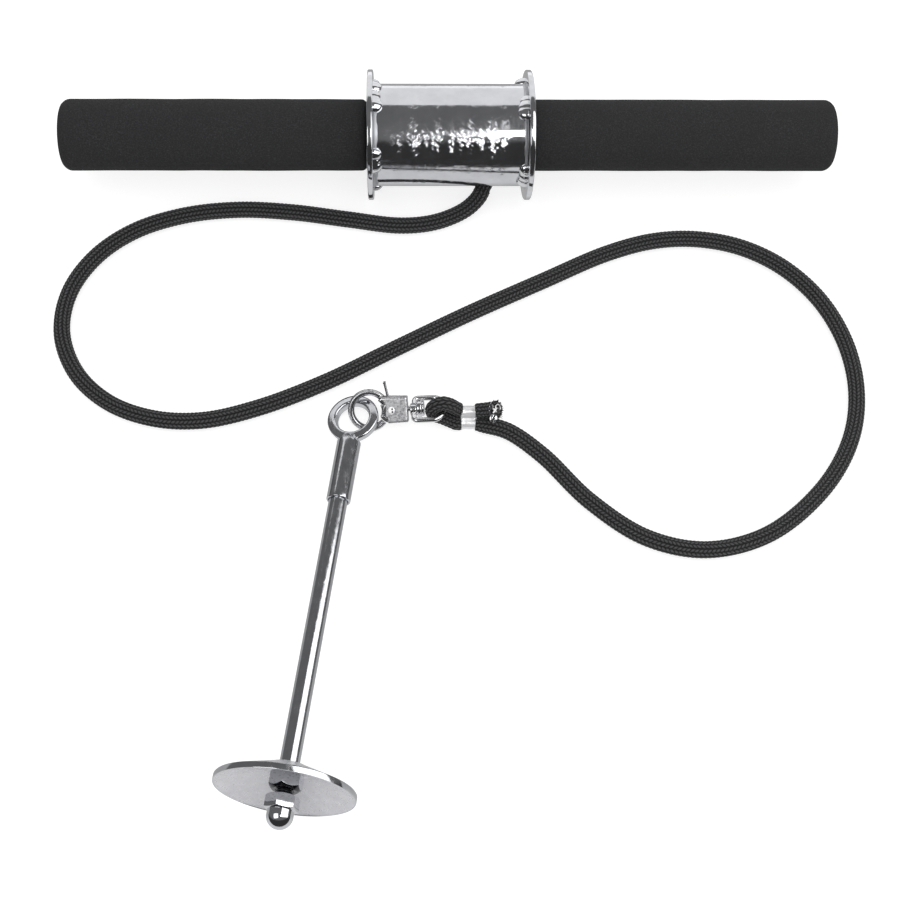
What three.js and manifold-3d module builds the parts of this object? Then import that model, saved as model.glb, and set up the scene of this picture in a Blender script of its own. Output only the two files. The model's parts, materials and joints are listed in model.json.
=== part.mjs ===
// Wrist roller: a chromed drum on a through bar with two foam grips, a braided rope with a
// crimped eye, a swivel snap hook and a loading pin for weight plates.
// Everything lies on the floor as it is put down after use. Millimetres, +Z up, +X along the bar.

import * as THREE from 'three';
import { mergeVertices } from 'three/addons/utils/BufferGeometryUtils.js';
import Module from 'manifold-3d';

const wasm = await Module();
wasm.setup();

// Shared clearances and mesh detail
const fitGap = 0.3;
const fineGap = 0.15;
const cutOverrun = 5;
const roundSegments = 40;
const smallSegments = 20;
const ringSegments = 32;
const ringSides = 8;
const arcSteps = 3;

// Bar and its end plugs
const barDiameter = 22;
const barWall = 2;
const barLength = 400;
const plugHeadThickness = 1.6;
const plugDepth = 12;

// Drum and flanges
const drumDiameter = 54;
const drumWall = 2.5;
const flangeSpacing = 81;
const flangeDiameter = 68.8;
const flangeThickness = 3;
const flangeEdgeRound = 0.5;

// Foam grips
const gripDiameter = 38;
const gripEndWall = 6;
const gripCrown = 1.6;
const gripCornerRadius = 5;
const gripInnerRound = 2;

// Weld beads in the corner between a flange and the drum, and the weld round the bar
const beadHeight = 3.4;
const beadWidth = 5.6;
const barWeldLeg = 2.6;
// Middle and half arc of each bead in degrees about the bar, from +Y towards +Z
const leftBeads = [[50, 17], [83, 15], [152, 16], [222, 15], [292, 17], [350, 14]];
const rightBeads = [[91, 16], [175, 19], [245, 15], [315, 17], [20, 15]];

// Rope and the hole that it leaves the drum by
const ropeDiameter = 9;
const ropeSides = 8;
const ropeSteps = 72;
const ropeHoleX = 19.8;
const ropeHoleDiameter = 12.4;
const ropeHoleAngle = 225;
const ropeExitLean = 27;
const stubDiameter = 8;
const stubStandOut = 2.3;
const knotLength = 19;
const knotWidth = 16;

// Rope route from the drum to the ferrule, from the point on the floor under the bar's middle
const ropeRoute = [
  [18.5, -20.9, 13.5], [16.2, -24.1, 10.3], [10.5, -28.6, 6.8], [2, -32.8, 4.8], [-10, -36.9, 4.6],
  [-27, -38.4, 4.6], [-55, -34.6, 4.6], [-85, -30.2, 4.6], [-115, -28.6, 4.6], [-145, -32.4, 4.6],
  [-171, -42.1, 4.6], [-190.6, -57.9, 4.6], [-202.9, -79.3, 4.6], [-205, -103.5, 4.6],
  [-195.5, -126.8, 4.6], [-177.5, -143.4, 4.6], [-154, -152.2, 4.6], [-128.9, -153.3, 4.6],
  [-100, -146.2, 4.6], [-66, -132, 4.6], [-30, -113, 4.6], [10, -92, 4.6], [50, -72.6, 4.6],
  [86, -55.6, 4.6], [112, -48, 4.6], [136, -47, 4.6], [160, -52.4, 4.6], [182, -65.2, 4.6],
  [200, -85.6, 4.6], [211, -112, 4.6], [213.3, -140, 4.6], [207, -166.5, 4.6], [190, -193, 4.6],
  [160, -217, 4.6], [128, -225, 4.6], [98, -218.4, 4.6], [70, -198.5, 4.6], [47, -173.6, 4.6],
  [30, -160.3, 4.6], [20, -156.9, 4.6], [13.3, -156, 4.6],
];

// Ferrule, whose two lobes hold the strands one above the other, leaning back
const ferruleMiddle = [8.8, -152.4, 5.4];
const ferruleLength = 8;
const ferruleLobeRadius = 3.5;
const strandSpacing = 5.8;
const ferruleLean = 35;

// Rope eye through the swivel eye, and the rope's tail with its binding
const eyeRopeDiameter = 7;
const eyeSteps = 20;
const eyeRoute = [
  [4, -149.4, 8.7], [3.1, -149.4, 9], [1.5, -149.4, 11.4], [-1.2, -149.4, 15], [-4.6, -149.3, 16.5],
  [-8, -149.8, 15.1], [-10.1, -150.7, 11.1], [-8.3, -151.6, 7.1], [-4.6, -152.3, 5.4], [-0.8, -153.6, 4.4],
  [2.6, -154.9, 3.9], [4.2, -155, 3.9],
];
const tailRopeDiameter = 7.6;
const tailSteps = 5;
const tailRoute = [[13.4, -150.8, 11.4], [17, -150.2, 11.4], [21, -149.6, 10.9], [26.6, -149, 10.4]];
const wireDiameter = 1;
const wirePlaceShare = 0.88;
const screwDiameter = 4.4;
const screwLength = 3.4;
const screwSlotWidth = 0.8;
const screwSlotDepth = 0.9;
const screwPlace = [22.5, -156.3, 13.3];
const screwLean = 24;

// Snap hook: the middle of its ring, how it lies, and its casting
const hookMiddle = [-44, -148.9, 6.8];
const hookTilt = 32;
const hookRise = 5.5;
const hookRingX = 1.4;
const hookOuterRadius = 11;
const hookWire = 3.1;
const hookThickness = 3;
const hookRootAngle = 36;
const hookTipAngle = 319;
const bodyEnd = 21.5;
const bodyThickness = 7;
const bodyCornerRound = 0.8;
const slotWidth = 3.8;
const slotEnd = 17.4;
const slotOutline = [[4, -9], [17.4, -9], [17.4, 2.4], [20.6, 2.4], [20.6, 9], [9.9, 9], [9.9, 5.4],
  [8.3, 5.4], [8.3, 4.1], [4, 4.1]];
const wallOutline = [[8.6, -6.9], [21.5, -6.5], [21.5, 6.5], [12, 6.9], [8, 6.9], [6.6, 5.3], [8.3, 3.4]];
const cheekRadius = 4.4;
const cheekTop = 3.3;

// Trigger: a gate and a thumb lever on one plate, turning on a rivet
const rivetX = 13.3;
const rivetDiameter = 2;
const rivetHeadDiameter = 3.6;
const rivetHeadHeight = 0.7;
const triggerThickness = 3;
const triggerHubRadius = 2.9;
const gateThickness = 6.4;
const gateInnerRadius = 6.6;
const gateDepth = 1.5;
const gateTopAngle = 22;
const gateEndAngle = -30;
const footRight = 11;
const footOutline = [[6.6, -3.2], [7, -4.8], [9.56, -6.57], [10.1, -6.9], [11, -6.9]];
const gateReach = 6.7;
const leverThickness = 1.1;
const leverWidth = 2.6;
const leverTip = [10.1, 14.1];
const leverRoot = [11.8, 5];
const leverKnobRadius = 0.8;
const springDiameter = 2.4;
const springWire = 0.4;
const springSeat = 0;

// Swivel: the post fixed in the hook, and the eye that the rope is looped through
const postDiameter = 3;
const postDepth = 3.4;
const swivelHeadDiameter = 9.2;
const swivelHeadThickness = 2.4;
const headTierDiameter = 8.2;
const headTierThickness = 1.1;
const swivelStart = 23.4;
const swivelEnd = 41;
const swivelBar = 2.8;
const swivelHalfWidth = 8.6;
const swivelTilt = -15;
const swivelPlay = 0.5;
const swivelLeftRound = 2.4;
const swivelRightRound = 6.4;
const swivelEdgeRound = 1.1;
const bossDiameter = 6.4;
const bossStandOut = 0.5;

// Loading pin: the middle of its ring, how it lies, and its pieces along its own axis
const pinMiddle = [-50.8, -153.6, 6.4];
const pinHeading = 8.3;
const pinRoll = 14;
const ringOuterRadius = 13.25;
const ringBand = 4.7;
const ringThickness = 4.6;
const sleeveDiameter = 12.2;
const sleeveEnd = 48.5;
const sleeveShoulder = 3;
const sleeveChamfer = 0.5;
const rodDiameter = 9.5;
const rodSocketDepth = 20;
const threadDiameter = 8.4;
const plateBack = 188.1;
const plateDiameter = 66.8;
const plateThickness = 3;
const plateDish = 9.6;
const plateSeatRadius = 9;
const plateLift = 0.15;
const nutAcrossFlats = 14.3;
const nutHeight = 8.4;
const nutChamfer = 1.5;
const nutTurn = -35;
const acornGap = 2.8;
const acornHexHeight = 6.5;
const acornTurn = -29;
const acornDomeDiameter = 12.5;
const acornHeight = 15.3;
const threadInAcorn = 10;

// Derived sizes
const ropeRadius = ropeDiameter / 2;
const drumRadius = drumDiameter / 2;
const barRadius = barDiameter / 2;
const flangeRadius = flangeDiameter / 2;
const gripRadius = gripDiameter / 2;
const flangeFace = flangeSpacing / 2;
const flangeOuterFace = flangeFace + flangeThickness;
const barBore = barRadius + fitGap;
const gripStart = flangeOuterFace + fitGap;
const gripBoreDepth = barLength / 2 + plugHeadThickness + 2 * fitGap - gripStart;
const gripLength = gripBoreDepth + gripEndWall;
const nutStart = plateBack + plateThickness + fineGap;
const acornStart = nutStart + nutHeight + acornGap;

// Materials
const steelColour = 0xc9ccd1;
const chrome = new THREE.MeshStandardMaterial({ color: steelColour, metalness: 1, roughness: 0.14 });
const scuffedChrome = new THREE.MeshStandardMaterial({ color: 0xb4b7bc, metalness: 1, roughness: 0.34 });
const dieCast = new THREE.MeshStandardMaterial({ color: 0x9a9da3, metalness: 0.9, roughness: 0.5 });
const aluminium = new THREE.MeshStandardMaterial({ color: 0xe2e4e8, metalness: 1, roughness: 0.25 });
const foam = new THREE.MeshStandardMaterial({ color: 0x1c1c1e, metalness: 0, roughness: 0.95 });
const ropeBlack = new THREE.MeshStandardMaterial({ color: 0x151516, metalness: 0, roughness: 0.85 });
const plastic = new THREE.MeshStandardMaterial({ color: 0x202124, metalness: 0, roughness: 0.6 });

const radians = THREE.MathUtils.degToRad;

// Booleans on closed meshes
function solidOf(geometry) {
  const bare = geometry.clone();
  bare.deleteAttribute('normal');
  bare.deleteAttribute('uv');
  const merged = mergeVertices(bare, 1e-4);
  return new wasm.Manifold(new wasm.Mesh({
    numProp: 3,
    vertProperties: new Float32Array(merged.attributes.position.array),
    triVerts: new Uint32Array(merged.index.array),
  }));
}

function geometryOf(solid) {
  const mesh = solid.getMesh();
  const geometry = new THREE.BufferGeometry();
  geometry.setAttribute('position', new THREE.BufferAttribute(new Float32Array(mesh.vertProperties), 3));
  geometry.setIndex(new THREE.BufferAttribute(new Uint32Array(mesh.triVerts), 1));
  geometry.computeVertexNormals();
  return geometry;
}

function cut(geometry, ...cutters) {
  const left = cutters.reduce((solid, cutter) => solid.subtract(solidOf(cutter)), solidOf(geometry));
  return geometryOf(left);
}

function joined(...geometries) {
  const [first, ...others] = geometries.map(solidOf);
  return geometryOf(others.reduce((solid, more) => solid.add(more), first));
}

// A profile of [radius, distance along the axis] pairs, turned about +Y
function turned(profile, segments = roundSegments) {
  return new THREE.LatheGeometry(profile.map(([r, y]) => new THREE.Vector2(r, y)), segments);
}

// The same, with its axis laid along +X
function turnedAlongX(profile, segments = roundSegments) {
  return turned(profile, segments).rotateZ(-Math.PI / 2);
}

// A ring or tube wall between two radii, closed on itself
function ringProfile(innerRadius, outerRadius, start, end, edge = 0) {
  const outer = edge
    ? [[outerRadius - edge, start], [outerRadius, start + edge],
      [outerRadius, end - edge], [outerRadius - edge, end]]
    : [[outerRadius, start], [outerRadius, end]];
  return [[innerRadius, start], ...outer, [innerRadius, end], [innerRadius, start]];
}

function discProfile(radius, start, end, edge = 0) {
  return [[0, start], [radius - edge, start], [radius, start + edge],
    [radius, end - edge], [radius - edge, end], [0, end]]
    .filter((point, i, all) => i === 0 || point[0] !== all[i - 1][0] || point[1] !== all[i - 1][1]);
}

// A closed oval section about a radius, for a ring that is turned
function ringSection(radius, width, thickness) {
  return Array.from({ length: ringSides + 1 }, (_, i) => {
    const angle = radians(((i % ringSides) * 360) / ringSides + 180 / ringSides);
    const grow = 1 / Math.cos(Math.PI / ringSides);
    return [radius + grow * (width / 2) * Math.cos(angle), grow * (thickness / 2) * Math.sin(angle)];
  });
}

// Points of a round corner, from one angle in degrees to another
function arcPoints(x, y, radius, from, to, steps = arcSteps) {
  return Array.from({ length: steps + 1 }, (_, i) => {
    const angle = radians(from + ((to - from) * i) / steps);
    return [x + radius * Math.cos(angle), y + radius * Math.sin(angle)];
  });
}

function outline(points) {
  return new THREE.Shape(points.map(([x, y]) => new THREE.Vector2(x, y)));
}

// A flat shape made into a slab that is centred on its own plane
function slab(shape, thickness) {
  const settings = { depth: thickness, bevelEnabled: false, curveSegments: arcSteps };
  const geometry = new THREE.ExtrudeGeometry(shape, settings);
  return geometry.translate(0, 0, -thickness / 2);
}

function roundRod(route, diameter, sides, steps) {
  const section = outline(arcPoints(0, 0, diameter / 2, 0, 360, sides).slice(0, sides));
  const points = route.map((point) => new THREE.Vector3(...point));
  const path = new THREE.CatmullRomCurve3(points, false, 'centripetal');
  return new THREE.ExtrudeGeometry(section, { steps, extrudePath: path, bevelEnabled: false });
}

function piece(group, name, geometry, material) {
  const mesh = new THREE.Mesh(geometry, material);
  mesh.name = name;
  group.add(mesh);
  return mesh;
}

// Roller: bar, plugs, drum, flanges, welds and grips, turned about +X through their own centre

function buildBar(group) {
  const half = barLength / 2;
  piece(group, 'bar', turnedAlongX(ringProfile(barRadius - barWall, barRadius, -half, half)), scuffedChrome);
  const spigot = barRadius - barWall - fitGap;
  const seat = half + fitGap;
  const plug = [[0, half - plugDepth], [spigot, half - plugDepth], [spigot, seat], [barRadius, seat],
    [barRadius, seat + plugHeadThickness], [0, seat + plugHeadThickness]];
  piece(group, 'bar_plug_right', turnedAlongX(plug, smallSegments), plastic);
  piece(group, 'bar_plug_left', turnedAlongX(plug, smallSegments).rotateZ(Math.PI), plastic);
}

function buildDrum(group) {
  const half = flangeFace - fitGap;
  const wall = turnedAlongX(ringProfile(drumRadius - drumWall, drumRadius, -half, half));
  const hole = turned(discProfile(ropeHoleDiameter / 2, barRadius, drumRadius + cutOverrun), smallSegments)
    .rotateX(radians(ropeHoleAngle))
    .translate(ropeHoleX, 0, 0);
  piece(group, 'drum', cut(wall, hole), scuffedChrome);
}

function buildFlanges(group) {
  const profile = ringProfile(barBore, flangeRadius, flangeFace, flangeOuterFace, flangeEdgeRound);
  piece(group, 'flange_right', turnedAlongX(profile), chrome);
  piece(group, 'flange_left', turnedAlongX(profile).rotateZ(Math.PI), chrome);
}

// A ball stretched along the corner, less the drum and the flange that it lies against
function weldBead(middle, halfArc) {
  const ball = new THREE.SphereGeometry(1, 14, 10);
  const place = ball.attributes.position;
  for (let i = 0; i < place.count; i += 1) {
    const angle = radians(middle - place.getX(i) * halfArc);
    const radius = drumRadius + place.getY(i) * beadHeight;
    const x = flangeFace + place.getZ(i) * beadWidth;
    place.setXYZ(i, x, radius * Math.cos(angle), radius * Math.sin(angle));
  }
  return ball;
}

function buildBeads(group) {
  const drumCutter = turnedAlongX(discProfile(drumRadius + fitGap, -flangeSpacing, flangeSpacing));
  const flangeCutter = turnedAlongX(discProfile(flangeRadius, flangeFace - fitGap, flangeSpacing));
  leftBeads.forEach(([middle, halfArc], i) => {
    const bead = cut(weldBead(180 - middle, halfArc), drumCutter, flangeCutter).rotateZ(Math.PI);
    piece(group, `weld_left_${i + 1}`, bead, chrome);
  });
  rightBeads.forEach(([middle, halfArc], i) => {
    piece(group, `weld_right_${i + 1}`, cut(weldBead(middle, halfArc), drumCutter, flangeCutter), chrome);
  });
}

function buildBarWelds(group) {
  const start = flangeOuterFace + fitGap;
  const profile = [[barBore, start], [barBore + barWeldLeg, start], [barBore, start + barWeldLeg],
    [barBore, start]];
  piece(group, 'bar_weld_right', turnedAlongX(profile, smallSegments), scuffedChrome);
  piece(group, 'bar_weld_left', turnedAlongX(profile, smallSegments).rotateZ(Math.PI), scuffedChrome);
}

function buildGrips(group) {
  const recess = barWeldLeg + 2 * fitGap;
  const crownStart = gripLength - gripCrown;
  const cornerMiddle = gripRadius - gripCornerRadius;
  const corner = arcPoints(cornerMiddle, crownStart - gripCornerRadius, gripCornerRadius, 0, 78);
  const inner = arcPoints(gripRadius - gripInnerRound, gripInnerRound, gripInnerRound, -90, 0);
  const profile = [[0, gripBoreDepth], [barBore, gripBoreDepth], [barBore, recess],
    [barBore + recess, recess], [barBore + recess, 0], ...inner, ...corner, [0, gripLength]];
  const grip = turnedAlongX(profile).translate(gripStart, 0, 0);
  piece(group, 'grip_right', grip, foam);
  piece(group, 'grip_left', grip.clone().rotateZ(Math.PI), foam);
}

// The stopper knot between the drum and the bar, with the strand that goes out through the hole
function buildKnot(group) {
  const lean = radians(ropeExitLean);
  const gap = drumRadius - drumWall - barRadius;
  const knotRadius = barRadius + gap / 2;
  const knot = new THREE.SphereGeometry(0.5, 16, 12);
  knot.scale(knotLength, gap - 4 * fitGap, knotWidth);
  const reach = (drumRadius - knotRadius) / Math.cos(lean);
  const strand = turned(discProfile(stubDiameter / 2, -reach, stubStandOut), smallSegments);
  strand.rotateZ(lean).translate(0, drumRadius - knotRadius, 0);
  knot.translate(reach * Math.sin(lean), 0, 0);
  const whole = joined(knot, strand);
  whole.translate(0, knotRadius, 0).rotateX(radians(ropeHoleAngle)).translate(ropeHoleX, 0, 0);
  piece(group, 'rope_knot', whole, ropeBlack);
}

function buildRoller() {
  const roller = new THREE.Group();
  roller.position.set(0, 0, flangeRadius);
  for (const build of [buildBar, buildDrum, buildFlanges, buildBeads, buildBarWelds, buildGrips, buildKnot]) {
    build(roller);
  }
  return roller;
}

// Rope and the pieces crimped on it

function buildRope(group) {
  piece(group, 'rope', roundRod(ropeRoute, ropeDiameter, ropeSides, ropeSteps), ropeBlack);
  piece(group, 'rope_eye', roundRod(eyeRoute, eyeRopeDiameter, ropeSides, eyeSteps), ropeBlack);
  piece(group, 'rope_tail', roundRod(tailRoute, tailRopeDiameter, ropeSides, tailSteps), ropeBlack);
}

function buildFerrule(group) {
  const lobe = ferruleLobeRadius;
  const middle = strandSpacing / 2;
  const waist = Math.sqrt(lobe ** 2 - middle ** 2) + 0.4;
  const right = arcPoints(middle, 0, lobe, -105, 105, 3 * arcSteps);
  const left = arcPoints(-middle, 0, lobe, 75, 285, 3 * arcSteps);
  const shape = outline([...right, [0, waist], ...left, [0, -waist]]);
  const ferrule = slab(shape, ferruleLength).rotateZ(Math.PI / 2).rotateY(Math.PI / 2);
  ferrule.rotateX(radians(ferruleLean)).translate(...ferruleMiddle);
  piece(group, 'ferrule', ferrule, aluminium);
}

// A wire bound round the tail, and the small slotted screw that closes the clip
function buildTailClip(group) {
  const points = tailRoute.map((point) => new THREE.Vector3(...point));
  const path = new THREE.CatmullRomCurve3(points, false, 'centripetal');
  const place = path.getPointAt(wirePlaceShare);
  const ahead = path.getTangentAt(wirePlaceShare);
  const lay = new THREE.Quaternion().setFromUnitVectors(new THREE.Vector3(0, 1, 0), ahead);
  const loopRadius = (tailRopeDiameter + wireDiameter) / 2 + fineGap;
  const wire = turned(arcPoints(loopRadius, 0, wireDiameter / 2, 0, 360, 6), smallSegments);
  piece(group, 'tail_wire', wire.applyQuaternion(lay).translate(place.x, place.y, place.z), aluminium);
  const radius = screwDiameter / 2;
  const head = turned(discProfile(radius, -screwLength, 0, 0.5), smallSegments);
  const slot = new THREE.BoxGeometry(screwDiameter + 1, 2 * screwSlotDepth, screwSlotWidth)
    .rotateY(radians(25));
  const screw = cut(head, slot).rotateX(Math.PI / 2 + radians(screwLean)).translate(...screwPlace);
  piece(group, 'tail_screw', screw, aluminium);
}

function buildCords(group) {
  buildRope(group);
  buildFerrule(group);
  buildTailClip(group);
}

// Swivel eye: a bent D of round bar with a drilled boss

function roundedBox(left, right, half, leftRound, rightRound) {
  return [
    ...arcPoints(right - rightRound, half - rightRound, rightRound, 0, 90),
    ...arcPoints(left + leftRound, half - leftRound, leftRound, 90, 180),
    ...arcPoints(left + leftRound, leftRound - half, leftRound, 180, 270),
    ...arcPoints(right - rightRound, rightRound - half, rightRound, 270, 360),
  ];
}

function buildSwivelEye(group) {
  const bar = swivelBar;
  const around = roundedBox(swivelStart, swivelEnd, swivelHalfWidth, swivelLeftRound, swivelRightRound);
  const shape = outline(around);
  const opening = roundedBox(swivelStart + bar, swivelEnd - bar, swivelHalfWidth - bar,
    swivelLeftRound / 2, swivelRightRound - bar);
  shape.holes.push(outline(opening.reverse()));
  const ring = new THREE.ExtrudeGeometry(shape, {
    depth: bar - 2 * swivelEdgeRound,
    bevelThickness: swivelEdgeRound,
    bevelSize: swivelEdgeRound,
    bevelOffset: -swivelEdgeRound,
    bevelSegments: 2,
    curveSegments: arcSteps,
  }).translate(0, 0, swivelEdgeRound - bar / 2);
  const left = swivelStart + bar;
  const bossProfile = discProfile(bossDiameter / 2, swivelStart - bossStandOut, left, 0.4);
  const boss = turnedAlongX(bossProfile, smallSegments);
  const boreRadius = postDiameter / 2 + fineGap + swivelPlay;
  const bore = turnedAlongX(discProfile(boreRadius, swivelStart - cutOverrun, left + 1), smallSegments);
  piece(group, 'swivel_eye', cut(joined(ring, boss), bore), dieCast);
}

// Snap hook, in its own frame: x along the post, y towards the lever, z out of the ring's plane

function sector(from, to, radius) {
  const points = arcPoints(0, 0, radius, from, to, 6);
  return outline([[0, 0], ...points]);
}

function buildHookBody(group) {
  const middle = hookOuterRadius - hookWire / 2;
  const section = ringSection(middle, hookWire, hookThickness);
  const ring = turned(section, ringSegments).rotateX(Math.PI / 2).translate(hookRingX, 0, 0);
  const mouth = slab(sector(hookTipAngle - 360, hookRootAngle, 3 * hookOuterRadius), bodyThickness + 1)
    .translate(hookRingX, 0, 0);
  const wall = new THREE.ExtrudeGeometry(outline(wallOutline), {
    depth: bodyThickness - 2 * bodyCornerRound,
    bevelThickness: bodyCornerRound,
    bevelSize: bodyCornerRound,
    bevelOffset: -bodyCornerRound,
    bevelSegments: 2,
  }).translate(0, 0, bodyCornerRound - bodyThickness / 2);
  const slot = slab(outline(slotOutline), slotWidth);
  const cheek = turned(discProfile(cheekRadius, -bodyThickness, bodyThickness))
    .rotateX(Math.PI / 2).translate(rivetX, 0, 0);
  const [edge, deep] = [footRight + fitGap, 2 * hookOuterRadius];
  const cornerOutline = [[0, -deep], [edge, -deep], [edge, cheekTop], [0, cheekTop]];
  const corner = cut(slab(outline(cornerOutline), bodyThickness + 1), cheek);
  const hole = turned(discProfile(rivetDiameter / 2 + fineGap, -bodyThickness, bodyThickness), smallSegments)
    .rotateX(Math.PI / 2).translate(rivetX, 0, 0);
  const socketStart = bodyEnd - postDepth - fineGap;
  const socketProfile = discProfile(postDiameter / 2 + fineGap, socketStart, bodyEnd + 1);
  const socket = turnedAlongX(socketProfile, smallSegments);
  const open = cut(ring, mouth);
  piece(group, 'hook_body', cut(joined(open, cut(wall, slot, corner)), hole, socket), dieCast);
}

function buildRivet(group) {
  const half = bodyThickness / 2 + fineGap;
  const radius = rivetDiameter / 2;
  const head = rivetHeadDiameter / 2;
  const top = half + rivetHeadHeight;
  const profile = [[0, -top], [head * 0.7, -top], [head, -half], [radius, -half],
    [radius, half], [head, half], [head * 0.7, top], [0, top]];
  const rivet = turned(profile, smallSegments);
  piece(group, 'trigger_rivet', rivet.rotateX(Math.PI / 2).translate(rivetX, 0, 0), aluminium);
}

// Two coils round the rivet beside the trigger's hub, with a leg out along the slot
function buildSpring(group) {
  const radius = springDiameter / 2 + springWire / 2;
  const low = springSeat + springWire / 2 + fineGap;
  const pitch = springWire + 0.1;
  const route = Array.from({ length: 17 }, (_, i) => {
    const angle = radians(45 * i - 90);
    return [rivetX + radius * Math.cos(angle), radius * Math.sin(angle), low + (pitch * i) / 8];
  });
  route.push([rivetX + 1.6, -radius, low + 2 * pitch], [slotEnd - 2 * fitGap, -radius, low + 2 * pitch]);
  piece(group, 'trigger_spring', roundRod(route, springWire, 5, 44), chrome);
}

function buildPost(group) {
  const start = bodyEnd - postDepth;
  const radius = postDiameter / 2;
  const seat = swivelStart + swivelBar + fitGap;
  const step = seat + swivelHeadThickness;
  const profile = [[0, start], [radius, start], [radius, seat], [swivelHeadDiameter / 2 - 0.4, seat],
    [swivelHeadDiameter / 2, seat + 0.4], [swivelHeadDiameter / 2, step - 0.4],
    [swivelHeadDiameter / 2 - 0.4, step],
    [headTierDiameter / 2, step], [headTierDiameter / 2, step + headTierThickness - 0.3],
    [headTierDiameter / 2 - 0.3, step + headTierThickness], [0, step + headTierThickness]];
  piece(group, 'swivel_post', turnedAlongX(profile, smallSegments + 8), dieCast);
}

function buildTrigger(group) {
  const hubCircle = arcPoints(rivetX, 0, triggerHubRadius, 0, 360, smallSegments).slice(0, smallSegments);
  const hub = slab(outline(hubCircle), triggerThickness);
  const strip = slab(outline([
    ...arcPoints(hookRingX, 0, gateInnerRadius, gateTopAngle, gateEndAngle, 8),
    ...arcPoints(hookRingX, 0, gateInnerRadius + gateDepth, gateEndAngle, gateTopAngle, 8),
  ].reverse()), triggerThickness);
  const cheekArc = arcPoints(rivetX, 0, cheekRadius + fitGap, 240.5, 214);
  const foot = slab(outline([...cheekArc, ...footOutline]), gateThickness);
  const webOutline = [[8.6, -3.6], [rivetX, -triggerHubRadius], [rivetX, triggerHubRadius], [8.7, 2.4]];
  const web = slab(outline(webOutline), triggerThickness);
  const footWebOutline = [[8.2, -4.6], [10.9, -6], [rivetX + 1, -1.6], [rivetX - 2.4, 0.4]];
  const footWeb = slab(outline(footWebOutline), triggerThickness);
  const [x1, y1] = leverRoot;
  const [x2, y2] = leverTip;
  const length = Math.hypot(x2 - x1, y2 - y1);
  const across = [(y2 - y1) / length * leverThickness / 2, (x1 - x2) / length * leverThickness / 2];
  const lever = slab(outline([
    [rivetX - triggerHubRadius, 0], [rivetX + 1.6, 0], [x1 + across[0], y1 + across[1]],
    [x2 + across[0], y2 + across[1]], [x2 - across[0], y2 - across[1]], [x1 - across[0], y1 - across[1]],
  ]), leverWidth);
  const knob = slab(outline(arcPoints(x2, y2, leverKnobRadius, 0, 360, 12).slice(0, 12)), leverWidth);
  const bore = turned(discProfile(rivetDiameter / 2 + fitGap, -bodyThickness, bodyThickness), smallSegments)
    .rotateX(Math.PI / 2).translate(rivetX, 0, 0);
  const recess = turned(discProfile(triggerHubRadius + fitGap, springSeat, triggerThickness), smallSegments)
    .rotateX(Math.PI / 2).translate(rivetX, 0, 0);
  const reach = turned(discProfile(gateReach, -bodyThickness, bodyThickness))
    .rotateX(Math.PI / 2).translate(rivetX, 0, 0);
  const gate = geometryOf(solidOf(joined(hub, strip, foot, web, footWeb)).intersect(solidOf(reach)));
  piece(group, 'trigger', cut(joined(gate, lever, knob), bore, recess), dieCast);
}

function buildHook(group) {
  buildHookBody(group);
  buildRivet(group);
  buildSpring(group);
  buildPost(group);
  buildTrigger(group);
}

// Loading pin, in its own frame: x along the rod from the middle of the ring, z out of the ring's plane

function buildPinEye(group) {
  const middle = ringOuterRadius - ringBand / 2;
  const section = ringSection(middle, ringBand, ringThickness);
  const ring = turned(section, ringSegments).rotateX(Math.PI / 2);
  const radius = sleeveDiameter / 2;
  const sleeveProfile = [[0, middle], [radius - sleeveShoulder, middle],
    [radius, middle + 1.2 * sleeveShoulder], [radius, sleeveEnd - sleeveChamfer],
    [radius - sleeveChamfer, sleeveEnd], [0, sleeveEnd]];
  const sleeve = turnedAlongX(sleeveProfile, smallSegments);
  const socketStart = sleeveEnd - rodSocketDepth - fitGap;
  const socketProfile = discProfile(rodDiameter / 2 + fineGap, socketStart, sleeveEnd + 1);
  const socket = turnedAlongX(socketProfile, smallSegments);
  piece(group, 'pin_eye', cut(joined(ring, sleeve), socket), chrome);
}

function buildRod(group) {
  const end = acornStart + threadInAcorn;
  const profile = [[0, sleeveEnd - rodSocketDepth], [rodDiameter / 2, sleeveEnd - rodSocketDepth],
    [rodDiameter / 2, plateBack - fineGap], [threadDiameter / 2, plateBack - fineGap],
    [threadDiameter / 2, end - 0.6], [threadDiameter / 2 - 0.6, end], [0, end]];
  piece(group, 'pin_rod', turnedAlongX(profile, smallSegments), chrome);
}

function hexPiece(start, height, acrossFlats, chamfer, turn, top) {
  const corner = acrossFlats / Math.sqrt(3);
  const prism = slab(outline(arcPoints(0, 0, corner, 30, 390, 6).slice(0, 6)), height + 2 * acornHeight)
    .rotateY(Math.PI / 2).rotateX(radians(turn)).translate(start + height / 2, 0, 0);
  const flat = acrossFlats / 2 - 0.3;
  const body = [[0, start], [flat, start], [corner + 0.1, start + chamfer]];
  const end = top ?? [[corner + 0.1, start + height - chamfer], [flat, start + height], [0, start + height]];
  const round = turnedAlongX([...body, ...end], smallSegments);
  return geometryOf(solidOf(prism).intersect(solidOf(round)));
}

// One face of the disc, a shallow cone round a flat middle for the nut
function dishedFace(offset) {
  return [[plateSeatRadius, plateBack + offset], [plateDiameter / 2, plateBack + offset + plateDish]];
}

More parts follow.
